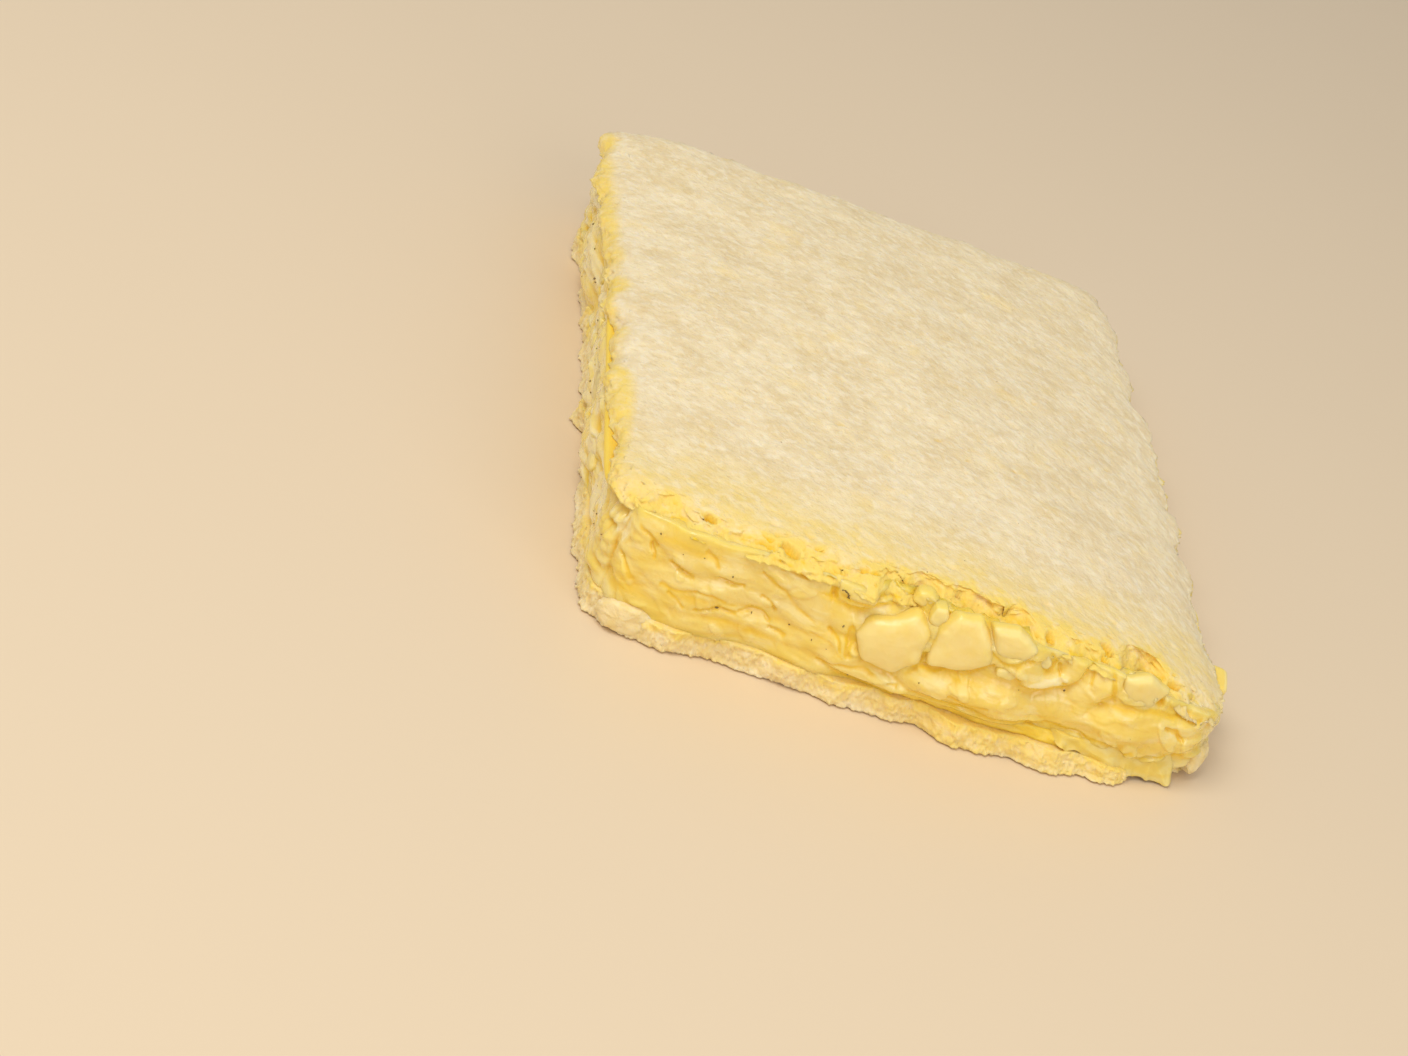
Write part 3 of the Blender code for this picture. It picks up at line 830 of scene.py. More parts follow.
class Finish:
    """A material with a Principled shader, and one method for each node that feeds it."""

    def __init__(self, name, **constants):
        self.material = bpy.data.materials.new(name)
        self.material.use_nodes = True
        self.tree = self.material.node_tree
        self.shader = self.tree.nodes["Principled BSDF"]
        for key, value in constants.items():
            self.feed(key.replace("_", " "), value)
        self.place = self.node("ShaderNodeTexCoord", output="Object")

    def node(self, kind, settings=None, sockets=None, output=0):
        """Adds a node with its settings and its sockets' values or links, by name or number."""
        made = self.tree.nodes.new(kind)
        for key, value in (settings or {}).items():
            setattr(made, key, value)
        for key, value in (sockets or {}).items():
            put(self.tree, made.inputs[key], value)
        return Value(self.tree, made.outputs[output])

    def feed(self, socket, value):
        """Sets or links one of the shader's own sockets."""
        put(self.tree, self.shader.inputs[socket], value)

    def mix(self, share, first, second):
        """A colour between two others."""
        sockets = {0: share, 6: first, 7: second}
        return self.node("ShaderNodeMix", {"data_type": "RGBA"}, sockets, output=2)

    def attribute(self, name):
        """The value that a piece's own points carry under this name."""
        return self.node("ShaderNodeAttribute", {"attribute_name": name}, output="Fac")

    def mapped(self, place=None, **sockets):
        """Coordinates turned or scaled, the object's own unless others are given."""
        return self.node("ShaderNodeMapping", None, {"Vector": place or self.place, **sockets})

    def grain(self, size, detail=3.0, place=None, roughness=0.5):
        """Noise with features of the given size in metres."""
        sockets = {"Vector": place or self.place, "Scale": 1 / size, "Detail": detail,
                   "Roughness": roughness}
        return self.node("ShaderNodeTexNoise", None, sockets)

    def cells(self, size, place=None):
        """Distance from the nearest of scattered points, about one in each cell."""
        sockets = {"Vector": place or self.place, "Scale": 1 / size}
        return self.node("ShaderNodeTexVoronoi", {"feature": "F1"}, sockets, output="Distance")

    def bump(self, relief, distance):
        """Feeds the shader's normal from a relief whose full height is the distance."""
        sockets = {"Strength": 1.0, "Distance": distance, "Height": relief}
        self.feed("Normal", self.node("ShaderNodeBump", None, sockets, output="Normal"))


# Bread
def bread_finish(settings):
    """Soft white crumb with short slanting wisps, moist darker spots and rare dark specks."""
    finish = Finish(
        "bread crumb",
        Subsurface_Weight=0.30,
        Subsurface_Scale=0.0012,
        Subsurface_Radius=(1.0, 0.85, 0.45),
        Specular_IOR_Level=0.2,
        Sheen_Weight=0.10,
    )
    turned = finish.mapped(Rotation=(0, 0, FIBRE_TURN))
    run = finish.mapped(turned, Scale=(0.78, 1, 1))
    wide_run = finish.mapped(turned, Scale=(0.85, 1, 1))
    width = settings.fibre_width
    blotch = finish.grain(8 * MM, 3).step(0.38, 0.64)
    mottle = finish.grain(3.2 * MM, 3).step(0.42, 0.62)
    cloud = finish.grain(width * 2.6, 3, wide_run, 0.55).step(0.36, 0.64)
    fibre = finish.grain(width, 2, run, 0.5).step(0.44, 0.70)
    wisp = finish.grain(width * 1.8, 2, run, 0.5).step(0.46, 0.68)
    moist = finish.grain(width * 1.25, 2, wide_run, 0.5).step(0.30, 0.47)
    dot = finish.cells(width * 1.6, wide_run).step(0.10, 0.34)
    patchy = finish.grain(4.5 * MM, 2).step(0.42, 0.58)
    fine = finish.grain(0.32 * MM, 2).step(0.30, 0.70)
    shade = blotch * 0.45 + cloud * 0.30 + mottle * 0.30
    colour = finish.mix(shade.minimum(1.0), tuple(settings.light), tuple(settings.dark))
    colour = finish.mix((1 - moist) * 0.32, colour, BREAD_MOIST)
    colour = finish.mix(fibre * 0.16 + wisp * 0.36, colour, BREAD_FIBRE)
    colour = finish.mix((1 - dot) * patchy * 0.20, colour, BREAD_DOT)
    warm = finish.grain(6 * MM, 3, wide_run).step(0.58, 0.72)
    colour = finish.mix(warm * 0.30, colour, BREAD_WARM)
    stain = finish.attribute("stain")
    soaked = (stain * (0.72 + 0.40 * cloud + 0.25 * (1 - wisp))).minimum(1.0)
    colour = finish.mix(soaked * 0.90, colour, STAIN_YELLOW)
    colour = finish.mix(finish.attribute("hole"), colour, STAIN_ORANGE)
    speck = 1 - finish.cells(4.5 * MM).step(0.020, 0.034)
    rare = finish.grain(9 * MM, 1).step(0.46, 0.52)
    finish.feed("Base Color", finish.mix(speck * rare * 0.8, colour, BREAD_SPECK))
    finish.feed("Roughness", 0.86 - 0.36 * soaked)
    relief = fibre * 0.3 + wisp * 0.5 + moist * 0.7 + cloud * 0.7
    relief = relief + fine * 0.25 + dot * 0.25 * patchy
    finish.bump(relief, 0.068 * MM)
    return finish.material


def high_bread_place(u, v, w):
    """The upper slice's points: ragged thin rim, torn back over the egg, gently rolling top.

    The rim stands out by a ripple, noise and the bows at the right and the back, less the slant
    of the side and the tears. The top rolls by two sines and noise, sinks towards the rim as
    powers of the distance from the middle, and rises at the back left. The side's lower edge
    droops over the front right corner.
    """
    angle = np.arctan2(v, u)
    most = np.maximum(np.abs(u), np.abs(v))
    x, y = plan(u, v, 0)
    at = stack(x, y, w * 3 * MM)
    front = near_side(-v)
    rag = 0.38 * MM * layered_noise(at, 2.4 * MM, 11) + 0.32 * MM * noise(at, 0.8 * MM, 14)
    rag = rag * (1 + 0.5 * front)
    spike = np.maximum(noise(at, (0.9 * MM, 0.9 * MM, 1.6 * MM), 16) - 0.25, 0)
    tear = (torn(x) + 0.3 * MM) * front
    tear = tear * (1 + 0.35 * noise(at, 2.8 * MM, 18))
    corner = past(x, 33, 8) * front
    slant = 0.5 * MM * w**3 + 1.5 * MM * w**1.3 * front
    reach = top_edge(angle) - slant - tear + rag + 0.9 * MM * spike
    reach = reach + 0.7 * MM * corner * (1 - w)
    back_corner = hill(x, y, BACK_CORNER_PLACE, BACK_CORNER_SPAN)
    back_left = np.exp(-(((x + 34 * MM) / (15 * MM)) ** 2)) * near_side(v)
    right = (1 - v**4) * near_side(u)
    bow = BACK_CORNER_BOW * back_corner + BACK_LEFT_BOW * back_left + RIGHT_BOW * right
    x, y = plan(u, v, reach + bow * MM, TOP_CORNER_POWER)
    flat = stack(x, y, 0 * x)
    dip = 0.30 * MM * np.sin(95 * x + 2) * np.sin(70 * y + 41 * x)
    dip = dip + 0.20 * MM * layered_noise(flat, (8 * MM, 6 * MM, 9 * MM), 31, 3)
    turned = math.cos(FIBRE_TURN) * x - math.sin(FIBRE_TURN) * y
    cross = math.sin(FIBRE_TURN) * x + math.cos(FIBRE_TURN) * y
    dip = dip + 0.08 * MM * noise(stack(turned, cross, 0 * x), (2.0 * MM, 0.9 * MM, 1), 37)
    edge = most**40 * front
    dip = dip + 0.35 * MM * edge * layered_noise(flat, 2.0 * MM, 35, 2)
    rise = 0.9 * MM * hill(x, y, RAISED_PLACE, RAISED_SPAN)
    top = height(x, y) + dip - 0.9 * MM * most**40 - 0.5 * MM * most**12 + rise
    droop = 1.3 * MM * corner * most**30 * (1 + 0.8 * noise(flat, 2.2 * MM, 39))
    bottom = high_bread_bottom(x, y) - 0.1 * MM - droop
    return x, y, mix(bottom, top, w)


def low_bread_place(u, v, w):
    """The lower slice's points: flat below, a rough side, a ragged foot, further out in front.

    The rim stands out by a ripple and noise, more at the foot, less under the cheese's corner.
    """
    angle = np.arctan2(v, u)
    most = np.maximum(np.abs(u), np.abs(v))
    x, y = plan(u, v, 0)
    at = stack(x, y, w * 3 * MM)
    flat = stack(x, y, 0 * x)
    rag = 0.32 * MM * layered_noise(at, 2.6 * MM, 51) + 0.22 * MM * noise(at, 0.7 * MM, 54)
    rag = rag + 0.20 * MM * noise(at, 0.36 * MM, 55)
    fuzz = np.maximum(noise(flat, 0.55 * MM, 57), 0) * (0.6 + 0.6 * noise(flat, 4 * MM, 56))
    torn_foot = layered_noise(flat, 4.5 * MM, 59, 3)
    rag = rag + (0.35 * fuzz + 0.45 * torn_foot) * MM * smooth(1 - 3.6 * w)
    tip = at_tip(x, y) * past(x, 34, 4)
    out = between(x, -4, 39, 12, 5) * near_side(-v)
    reach = low_edge(angle) - 0.3 * MM * w**2 - 2.6 * MM * tip + rag - left_trim(u)
    reach = reach + (2.1 - 0.7 * w) * MM * out
    x, y = plan(u, v, reach * smooth((most - 0.9) / 0.1))
    z = mix(0.35 * MM * most**60, low_bread_top(x, y) + 0.1 * MM, w)
    rough = noise(at, (1.8 * MM, 1.8 * MM, 0.5 * MM), 58) + 0.7 * noise(at, 0.45 * MM, 62)
    return x, y, z + 0.16 * MM * rough * near_side(most, 10) * w * (1 - w) * 4


def edge_distance(x, y):
    """How far a point lies in from the front edge."""
    return y - front_y(2 * x / WIDTH)


def hole_field(x, y, holes, spread=1.0):
    """1 in the middle of each hole near the front edge, 0 outside.

    The field is the greatest of soft ovals, slanted and warped by noise.
    """
    inward = edge_distance(x, y)
    warp = 0.45 * MM * noise(stack(x, y, 0 * x), 0.9 * MM, 44)
    total = np.zeros_like(x)
    for place, inside, half_width, half_depth in holes:
        across = (x + warp - place * MM) / (spread * half_width * MM)
        along = (inward - warp - inside * MM) / (spread * half_depth * MM)
        turned = across + 0.35 * along
        total = np.maximum(total, smooth(2.2 * (1.12 - np.hypot(turned, along))))
    return total


def pit_field(x, y, seed, count, low, high):
    """Scattered round pits over the top: 1 in the middle of each, 0 outside."""
    draw = np.random.default_rng(seed)
    total = np.zeros_like(x)
    for _ in range(count):
        px, py = draw.uniform(-46, 46) * MM, draw.uniform(-64, 64) * MM
        radius = draw.uniform(low, high) * MM
        near = (np.abs(x - px) < 2 * radius) & (np.abs(y - py) < 2 * radius)
        across = (x[near] - px) / (1.6 * radius)
        along = (y[near] - py) / radius
        total[near] = np.maximum(total[near], smooth(1.2 - np.hypot(across, along)))
    return total


def pore_field(x, y, z):
    """Irregular small pores of the moist edge: 1 inside, where noise is high, 0 outside."""
    at = stack(x, y, z)
    grain = layered_noise(at, (1.7 * MM, 1.0 * MM, 1.0 * MM), 47, 2)
    return smooth((grain - 0.38) / 0.34)


def top_stain(u, v, w, x, y, z):
    """How soaked the upper slice is, and how moist and porous, both strongest in front.

    The stain is the greatest of a band along the torn front edge, a broad paler one behind it,
    a strip down the left side, the lower part of the sides, and a halo round each hole. It is
    weaker at the front right corner.
    """
    inward = edge_distance(x, y)
    from_edge = inward - 0.7 * torn(x)
    patch = noise(stack(x, y, z), 5 * MM, 41)
    fine = noise(stack(x, y, z), 1.5 * MM, 43)
    right = past(x, -12, 20)
    reach = (5.4 + 2.4 * right + 1.8 * patch + 1.4 * fine) * MM
    band = 0.95 * smooth((reach - from_edge) / (3.4 * MM))
    broad = 0.56 * smooth((26 * MM - inward + 3 * MM * patch) / (24 * MM))
    left = smooth((3.0 * MM + 1.6 * MM * patch - (x + WIDTH / 2)) / (2.4 * MM))
    rim = near_side(np.maximum(np.abs(u), np.abs(v)), 40)
    below = smooth((0.80 - w) / 0.5) * rim * (0.75 - 0.25 * (v > 0.9))
    foot = rim * near_side(-v) * smooth(8 - 9 * w)
    stain = np.maximum.reduce([band, broad, 0.75 * left, below, foot])
    corner = past(x, 35, 6) * past(-inward, -9, 4)
    halo = hole_field(x, y, EDGE_HOLES, 1.9)
    stain = np.clip(np.maximum(stain * (1 - 0.6 * corner), 0.85 * halo), 0, 1)
    moist = smooth((5.0 * MM + 2.5 * MM * patch - from_edge) / (3 * MM)) * (1 - 0.7 * corner)
    return stain, moist


def scatter_crumbs(name, places, stain, count, seed, finish):
    """Fine crumbs half sunk at places picked by the seed, with the stain found there.

    Each is an icosahedron whose corners are moved in or out, stretched at random on each axis.
    """
    draw = np.random.default_rng(seed)
    picked = draw.integers(0, len(places), count)
    corners, faces = crumb_shape()
    jitter = draw.uniform(0.55, 1.45, (count, 12, 1))
    stretch = draw.uniform(0.5, 1.5, (count, 1, 3))
    sizes = draw.uniform(0.05, 0.15, count)[:, None, None] * MM
    points = corners * jitter * stretch * sizes + places[picked][:, None]
    triangles = faces + 12 * np.arange(count)[:, None, None]
    facts = {"stain": np.repeat(stain[picked], 12), "hole": np.zeros(12 * count)}
    make_piece(name, points.reshape(-1, 3), np.zeros((0, 4), int), finish,
               triangles.reshape(-1, 3), facts)


def build_bread_top(settings, finish):
    """The upper slice on a lattice, finer towards the front edge, with holes and pits."""
    us = np.linspace(-1, 1, 330)
    vs = np.concatenate([np.linspace(-1, -0.82, 62), np.linspace(-0.82, 1, 186)[1:]])
    u, v, w, quads, triangles, on_side = lid_body(
        us, vs, np.linspace(0, 1, 10), (0.98, 0.9, 0.6, 0.3))
    x, y, z = high_bread_place(u, v, w)
    stain, moist = top_stain(u, v, w, x, y, z)
    hole = hole_field(x, y, EDGE_HOLES)
    pores = pore_field(x, y, z) * moist
    pits = pit_field(x, y, 5, 120, 0.3, 0.7)
    yellow_pits = pit_field(x, y, 6, 14, 0.35, 0.7)
    top = smooth(w * 6 - 5)
    z = z - top * (1.8 * MM * hole + 0.45 * MM * pores
                   + settings.pit_depth * np.maximum(pits, yellow_pits))
    hole = hole * (0.45 + 0.55 * top) + 0.35 * yellow_pits * top
    hole = np.clip(np.maximum(hole, 0.75 * pores), 0, 1)
    points = stack(x, y, z)
    facts = {"stain": stain, "hole": hole}
    make_piece("bread_top_crumb", points, quads, finish, triangles, facts,
               replaced=["bread_top"])
    scatter_crumbs("bread_top_edge", points[on_side], stain[on_side], settings.crumb_count, 38,
                   finish)


def build_bread_bottom(settings, finish):
    """The lower slice as rings over its top, down its porous side and under it."""
    wall = [(1.0, level) for level in np.linspace(1, 0, 19)]
    inward = (0.5, 0.8, 0.92, 0.965, 0.985, 0.994)
    over = [(reach, 1.0) for reach in inward]
    under = [(reach, 0.0) for reach in inward[::-1]]
    u, v, w, quads, triangles = ring_body(LOW_BREAD_COLUMNS, over + wall + under)
    x, y, z = low_bread_place(u, v, w)
    most = np.maximum(np.abs(u), np.abs(v))
    patch = layered_noise(stack(x, y, z), (6 * MM, 6 * MM, 2 * MM), 61, 2)
    right = past(x, -20, 30) * (v < 0)
    stain = (0.32 + 0.30 * right) * smooth((w + 0.45 + 0.4 * patch) / 0.7)
    stain = stain + 0.40 * smooth((w - 0.60 + 0.30 * patch) / 0.4)
    stain = np.clip(stain, 0, 1) * near_side(most, 10)
    points = stack(x, y, z)
    facts = {"stain": stain, "hole": np.zeros(len(points))}
    make_piece("bread_bottom_crumb", points, quads, finish, triangles, facts,
               replaced=["bread_bottom"])
    at_rim = (most > 0.9999) & (w > 0.02) & (w < 0.98)
    scatter_crumbs("bread_bottom_edge", points[at_rim], stain[at_rim], settings.crumb_count, 39,
                   finish)


def build_bread_lumps(finish):
    """Torn lumps of crumb pressed against the front wall: pillows roughened by noise."""
    lumps = []
    for number, (place, level, wide, tall, out) in enumerate(BREAD_LUMPS):
        turns = np.arange(7) / 7 * 2 * math.pi + 0.3 * number
        corners = np.stack([wide * np.cos(turns), tall * np.sin(turns)], axis=-1) * MM
        points, quads, triangles = pillow(corners, 3.4 * MM, 140 + number, 0.6)
        size = np.linalg.norm(points, axis=-1, keepdims=True)
        rough = layered_noise(points + place, 1.3 * MM, 150 + number, 3)[:, None]
        points = points * (1 + 0.30 * MM * rough / size)
        x, y = RIM.at(place * MM + points[:, 0], points[:, 2] + (out - 1.7) * MM)
        z = np.maximum(level * MM + points[:, 1], 0.1 * MM)
        lumps.append((stack(x, y, z), quads, triangles))
    points, quads, triangles = joined(lumps)
    facts = {"stain": np.full(len(points), 0.30), "hole": np.zeros(len(points))}
    make_piece("bread_lumps", points, quads, finish, triangles, facts)


# Cheese
def cheese_finish(settings):
    """Soft cheese slice: deep yellow inside the layers, paler where the sheet hangs out."""
    finish = Finish(
        "cheese",
        Subsurface_Weight=0.30,
        Subsurface_Scale=0.0018,
        Subsurface_Radius=(1.0, 0.92, 0.4),
        IOR=1.42,
        Coat_Weight=0.15,
        Coat_Roughness=0.2,
    )
    drift = finish.grain(6 * MM, 3).step(0.35, 0.7)
    colour = finish.mix(drift * 0.5, tuple(settings.colour), CHEESE_DRIFT)
    run = finish.mapped(Scale=(0.5, 0.5, 1))
    streak = finish.grain(1.6 * MM, 3, run).step(0.42, 0.66)
    sheet = finish.mix(streak, SHEET_DEEP, SHEET_PALE)
    finish.feed("Base Color", finish.mix(finish.attribute("sheet"), colour, sheet))
    finish.feed("Roughness", 0.38 + 0.15 * finish.grain(2 * MM, 2))
    finish.bump(finish.grain(1.5 * MM, 3), 0.08 * MM)
    return finish.material


def slice_place(u, v, place):
    """A cheese slice's plan: a turned rectangle with small round corners."""
    most = np.maximum(np.maximum(np.abs(u), np.abs(v)), 1e-9)
    power = SLICE_CORNER_POWER
    corner = most / (np.abs(u) ** power + np.abs(v) ** power + 1e-200) ** (1 / power)
    local_x, local_y = u * corner * SLICE_SIZE[0] / 2, v * corner * SLICE_SIZE[1] / 2
    cos, sin = math.cos(place[2]), math.sin(place[2])
    return place[0] + local_x * cos - local_y * sin, place[1] + local_x * sin + local_y * cos


def build_cheese(finish):
    """Both slices as rings with a rounded, slightly wavy edge."""
    half = [(1.0, level) for level in np.linspace(0.96, 0.04, 7)]
    over = [(reach, 1.0) for reach in (0.5, 0.85, 0.95, 0.98, 0.993)]
    profile = over + half + [(reach, 0.0) for reach, _ in over[::-1]]
    u, v, w, quads, triangles = ring_body(SLICE_COLUMNS, profile)
    most = np.maximum(np.abs(u), np.abs(v))
    rim = near_side(most, 20)
    round_edge = 0.35 * MM * (1 - 4 * (w - 0.5) ** 2) * rim
    facts = {"sheet": np.zeros(len(u))}

    x, y = slice_place(u, v, HIGH_SLICE_PLACE)
    x, y = x + u * round_edge, y + v * round_edge
    top = high_bread_bottom(x, y) - GAP / 2
    z = top - (1 - w) * (height(x, y) * CHEESE - GAP)
    make_piece("cheese_slice_upper", stack(x, y, z), quads, finish, triangles, facts,
               replaced=["cheese_upper"])

    x, y = slice_place(u, v, LOW_SLICE_PLACE)
    front = smooth(-v * 20 - 18)
    shown = between(x, -6, 31, 6, 7)
    wave = noise(stack(x, y, 0 * x), 4 * MM, 71) * rim
    lumps = layered_noise(stack(x, 0 * x, 4 * MM * w), (2.6 * MM, 1, 2 * MM), 75, 2) * rim * front
    push = mix(-2.2, 2.3, shown) * front - 0.4 * wave + 0.45 * lumps * shown
    x, y = x + u * round_edge, y + v * round_edge - push * MM
    bottom = low_bread_top(x, y) + GAP / 2
    thick = height(x, y) * CHEESE - GAP
    z = bottom + w * (thick + (0.8 + 0.25 * lumps) * MM * front * shown)
    make_piece("cheese_slice_lower", stack(x, y, z), quads, finish, triangles, facts,
               replaced=["cheese_lower"])


def build_flap(finish):
    """The lower slice's corner where it hangs out in front: a thin sheet in sharp small folds.

    Its upper and left edges lie under the filling, its lower edge runs down to the right. The
    folds are the size of a slanting sine, so that their ridges are sharp and their valleys round.
    """
    u, v, w, quads = box_surface(np.linspace(0, 1, 150), np.linspace(0, 1, 44),
                                 np.linspace(0, 1, 4))
    side = 0.45 * noise(stack(0 * v, 3 * MM * v, 0 * v), 0.9 * MM, 72)
    s = mix(20.0 * MM, (43.0 - 2.4 * (1 - v) ** 1.5 + side) * MM, u)
    line = stack(s, 0 * s, 0 * s)
    ragged = noise(line, 2.2 * MM, 73) + 0.8 * noise(line, 0.7 * MM, 74)
    lower = (4.1 - 3.7 * smooth(u * 1.05)) * MM + 0.32 * MM * ragged
    z = mix((6.1 - 0.3 * u) * MM, np.maximum(lower, 0.2 * MM), v)
    warp = noise(stack(s, z, 0 * s), 4 * MM, 77)
    ridge = 1 - 2 * np.abs(np.sin(0.36 * s / MM - 2.3 * v + 0.8 * warp))
    small = 1 - 2 * np.abs(np.sin(0.9 * s / MM - 1.2 * v + 1.4 + warp))
    out = 0.7 + 0.5 * v + 0.8 * u * v + (0.50 * ridge + 0.20 * small) * v**0.6 * (0.5 + 0.6 * u)
    out = (out - 2.6 * (1 - smooth(u / 0.16)) - 1.4 * (1 - smooth(v / 0.22))) * MM
    thick = 0.60 * MM * (1 - 0.6 * np.abs(2 * v - 1) ** 8) * (1 - 0.5 * np.abs(2 * u - 1) ** 10)
    out = out + (w - 1) * thick + 0.14 * MM * noise(stack(s, z, 0 * s), 1.5 * MM, 76)
    x, y = RIM.at(s, out)
    make_piece("cheese_flap", stack(x, y, z), quads[:, ::-1], finish,
               facts={"sheet": np.ones(len(s))})


# Filling
def cream_finish(settings):
    """Moist creamy filling: smooth and pale on its flakes, with painted shade in deep yellow
    between them.
    """
    finish = Finish(
        "chicken and egg cream",
        Subsurface_Weight=0.40,
        Subsurface_Scale=0.0028,
        Subsurface_Radius=(1.0, 0.92, 0.42),
        IOR=1.42,
        Coat_Roughness=0.08,
    )
    pale, painted_shade = finish.attribute("pale"), finish.attribute("painted_shade")
    drift = finish.grain(4 * MM, 3).step(0.36, 0.66)
    run = finish.mapped(Scale=(0.35, 0.35, 1))
    thread = finish.grain(0.9 * MM, 3, run, 0.6).step(0.52, 0.74)
    veil = finish.grain(1.9 * MM, 3, run).step(0.50, 0.70)
    tone = (pale * 0.85 + drift * 0.5 - 0.25).minimum(1.0).maximum(0.0)
    colour = finish.mix(tone, tuple(settings.middle), tuple(settings.pale))
    colour = finish.mix(veil * 0.55, colour, CREAM_VEIL)
    colour = finish.mix(thread * 0.28, colour, CREAM_THREAD)
    # Painted shade: deep yellow in the wall's dents, creases and crevices, and under the torn
    # bread's edge
    colour = finish.mix(painted_shade * 0.78, colour, tuple(settings.deep))
    white = pale.step(0.88, 1.0)
    finish.feed("Base Color", finish.mix(white * 0.55, colour, CREAM_WHITE))
    wet = finish.grain(2.0 * MM, 2).step(0.40, 0.62)
    finish.feed("Roughness", 0.42 - 0.22 * wet)
    finish.feed("Coat Weight", 0.20 + 0.6 * wet)
    fine = finish.grain(0.8 * MM, 3)
    finish.bump(fine * 0.5 + thread * 0.4 + veil * 0.6, 0.08 * MM)
    return finish.material


def side_flakes(seed):
    """Seeded flakes for the right, back and left walls, laid in wavy rows."""
    draw = np.random.default_rng(seed)
    first, last = 46.5, RIM.length / MM - 46.5
    flakes = []
    for row in range(6):
        place = first
        while place < last:
            length = draw.uniform(2.8, 8.0)
            level = 4.2 + 2.3 * row + draw.uniform(-0.8, 0.8)
            flakes.append((place, level, length, draw.uniform(1.0, 2.1), draw.uniform(-24, 24),
                           draw.uniform(0.8, 2.0), draw.uniform(0, 0.95)))
            place += length * draw.uniform(0.9, 1.4)
    return flakes


def chip_flakes(seed):
    """Small flakes in all directions over the larger ones, round all four walls."""
    draw = np.random.default_rng(seed)
    chips = []
    for _ in range(CHIP_COUNT):
        chips.append((draw.uniform(-47, RIM.length / MM - 47), draw.uniform(4.0, 19.0),
                      draw.uniform(0.8, 3.0), draw.uniform(0.45, 1.1), draw.uniform(-62, 34),
                      draw.uniform(0.2, 0.6), draw.uniform(0.2, 0.95)))
    return chips


def fibre_flakes(seed):
    """Fine chicken fibres as long thin flakes, round all four walls."""
    draw = np.random.default_rng(seed)
    fibres = list(CORNER_STRANDS)
    for _ in range(FIBRE_COUNT):
        fibres.append((draw.uniform(-46, RIM.length / MM - 46), draw.uniform(4.2, 18.5),
                       draw.uniform(1.2, 5.5), draw.uniform(0.22, 0.42), draw.uniform(-26, 12),
                       draw.uniform(0.15, 0.42), 0.9))
    return fibres


def side_creases(seed):
    """Seeded creases for the right, back and left walls: short lines of three points."""
    draw = np.random.default_rng(seed)
    creases = []
    for _ in range(CREASE_COUNT):
        middle, level = draw.uniform(48, RIM.length / MM - 48), draw.uniform(5, 13)
        half, rise = draw.uniform(1.0, 3.4), draw.uniform(-1.2, 1.2)
        sag = draw.uniform(-0.7, 0.7)
        line = ((middle - half, level - rise), (middle, level + sag), (middle + half, level + rise))
        creases.append((draw.uniform(0.28, 0.42), draw.uniform(0.4, 1.1), line))
    return creases


def flake_relief(s, z, flakes):
    """Relief of overlapping flakes, and how pale the one on top is, at places s, z of the wall.

    Each flake is an oval dome, thicker towards its lower lip. Its height is the square root of
    1 minus the squared distance from its middle, cut off flat sooner the paler it is. The relief
    is the highest of them.
    """
    best, pale = np.zeros_like(s), np.full_like(s, 0.3)
    for place, level, length, tall, tilt, out, tone in flakes:
        across = (s - place * MM + RIM.length / 2) % RIM.length - RIM.length / 2
        near = np.abs(across) < (length + tall) * MM
        cos, sin = math.cos(math.radians(tilt)), math.sin(math.radians(tilt))
        rise = z[near] - level * MM
        along = (across[near] * cos + rise * sin) / (length * MM)
        up = (rise * cos - across[near] * sin) / (tall * MM)
        inside = np.clip((1 - along**2 - up**2) * (1 + 1.6 * tone), 0, 1)
        dome = out * MM * np.sqrt(inside) * (1 - 0.25 * up)
        higher = dome > best[near]
        best[near] = np.where(higher, dome, best[near])
        pale[near] = np.where(higher, tone, pale[near])
    return best, pale


def crease_relief(s, z, creases):
    """How deep creases cut at places s, z: each falls off with the distance from its line."""
    total = np.zeros_like(s)
    for width, depth, line in creases:
        line = np.array(line) * MM
        low, high = line.min(axis=0) - 2 * MM, line.max(axis=0) + 2 * MM
        near = (s > low[0]) & (s < high[0]) & (z > low[1]) & (z < high[1])
        best = np.full(near.sum(), 1.0)
        here_s, here_z = s[near], z[near]
        for first, second in zip(line[:-1], line[1:]):
            along = second - first
            share = ((here_s - first[0]) * along[0] + (here_z - first[1]) * along[1]) / (
                along @ along)
            share = np.clip(share, 0, 1)
            gap_s = here_s - first[0] - share * along[0]
            gap_z = here_z - first[1] - share * along[1]
            best = np.minimum(best, np.hypot(gap_s, gap_z))
        total[near] = np.maximum(total[near], depth * MM * np.exp(-((best / (width * MM)) ** 2)))
    return total


def crevice_shade_field(s, z, grain):
    """Painted shade of the front wall's crevices, in deep yellow: soft ovals, broken up by the
    grain.
    """
    total = np.zeros_like(s)
    for place, level, length, tall in CREVICE_SHADE_PATCHES:
        across, up = (s - place * MM) / (length * MM), (z - level * MM) / (tall * MM)
        total = np.maximum(total, smooth(1.4 - np.hypot(across, up)))
    return total * (0.45 + 0.50 * grain)


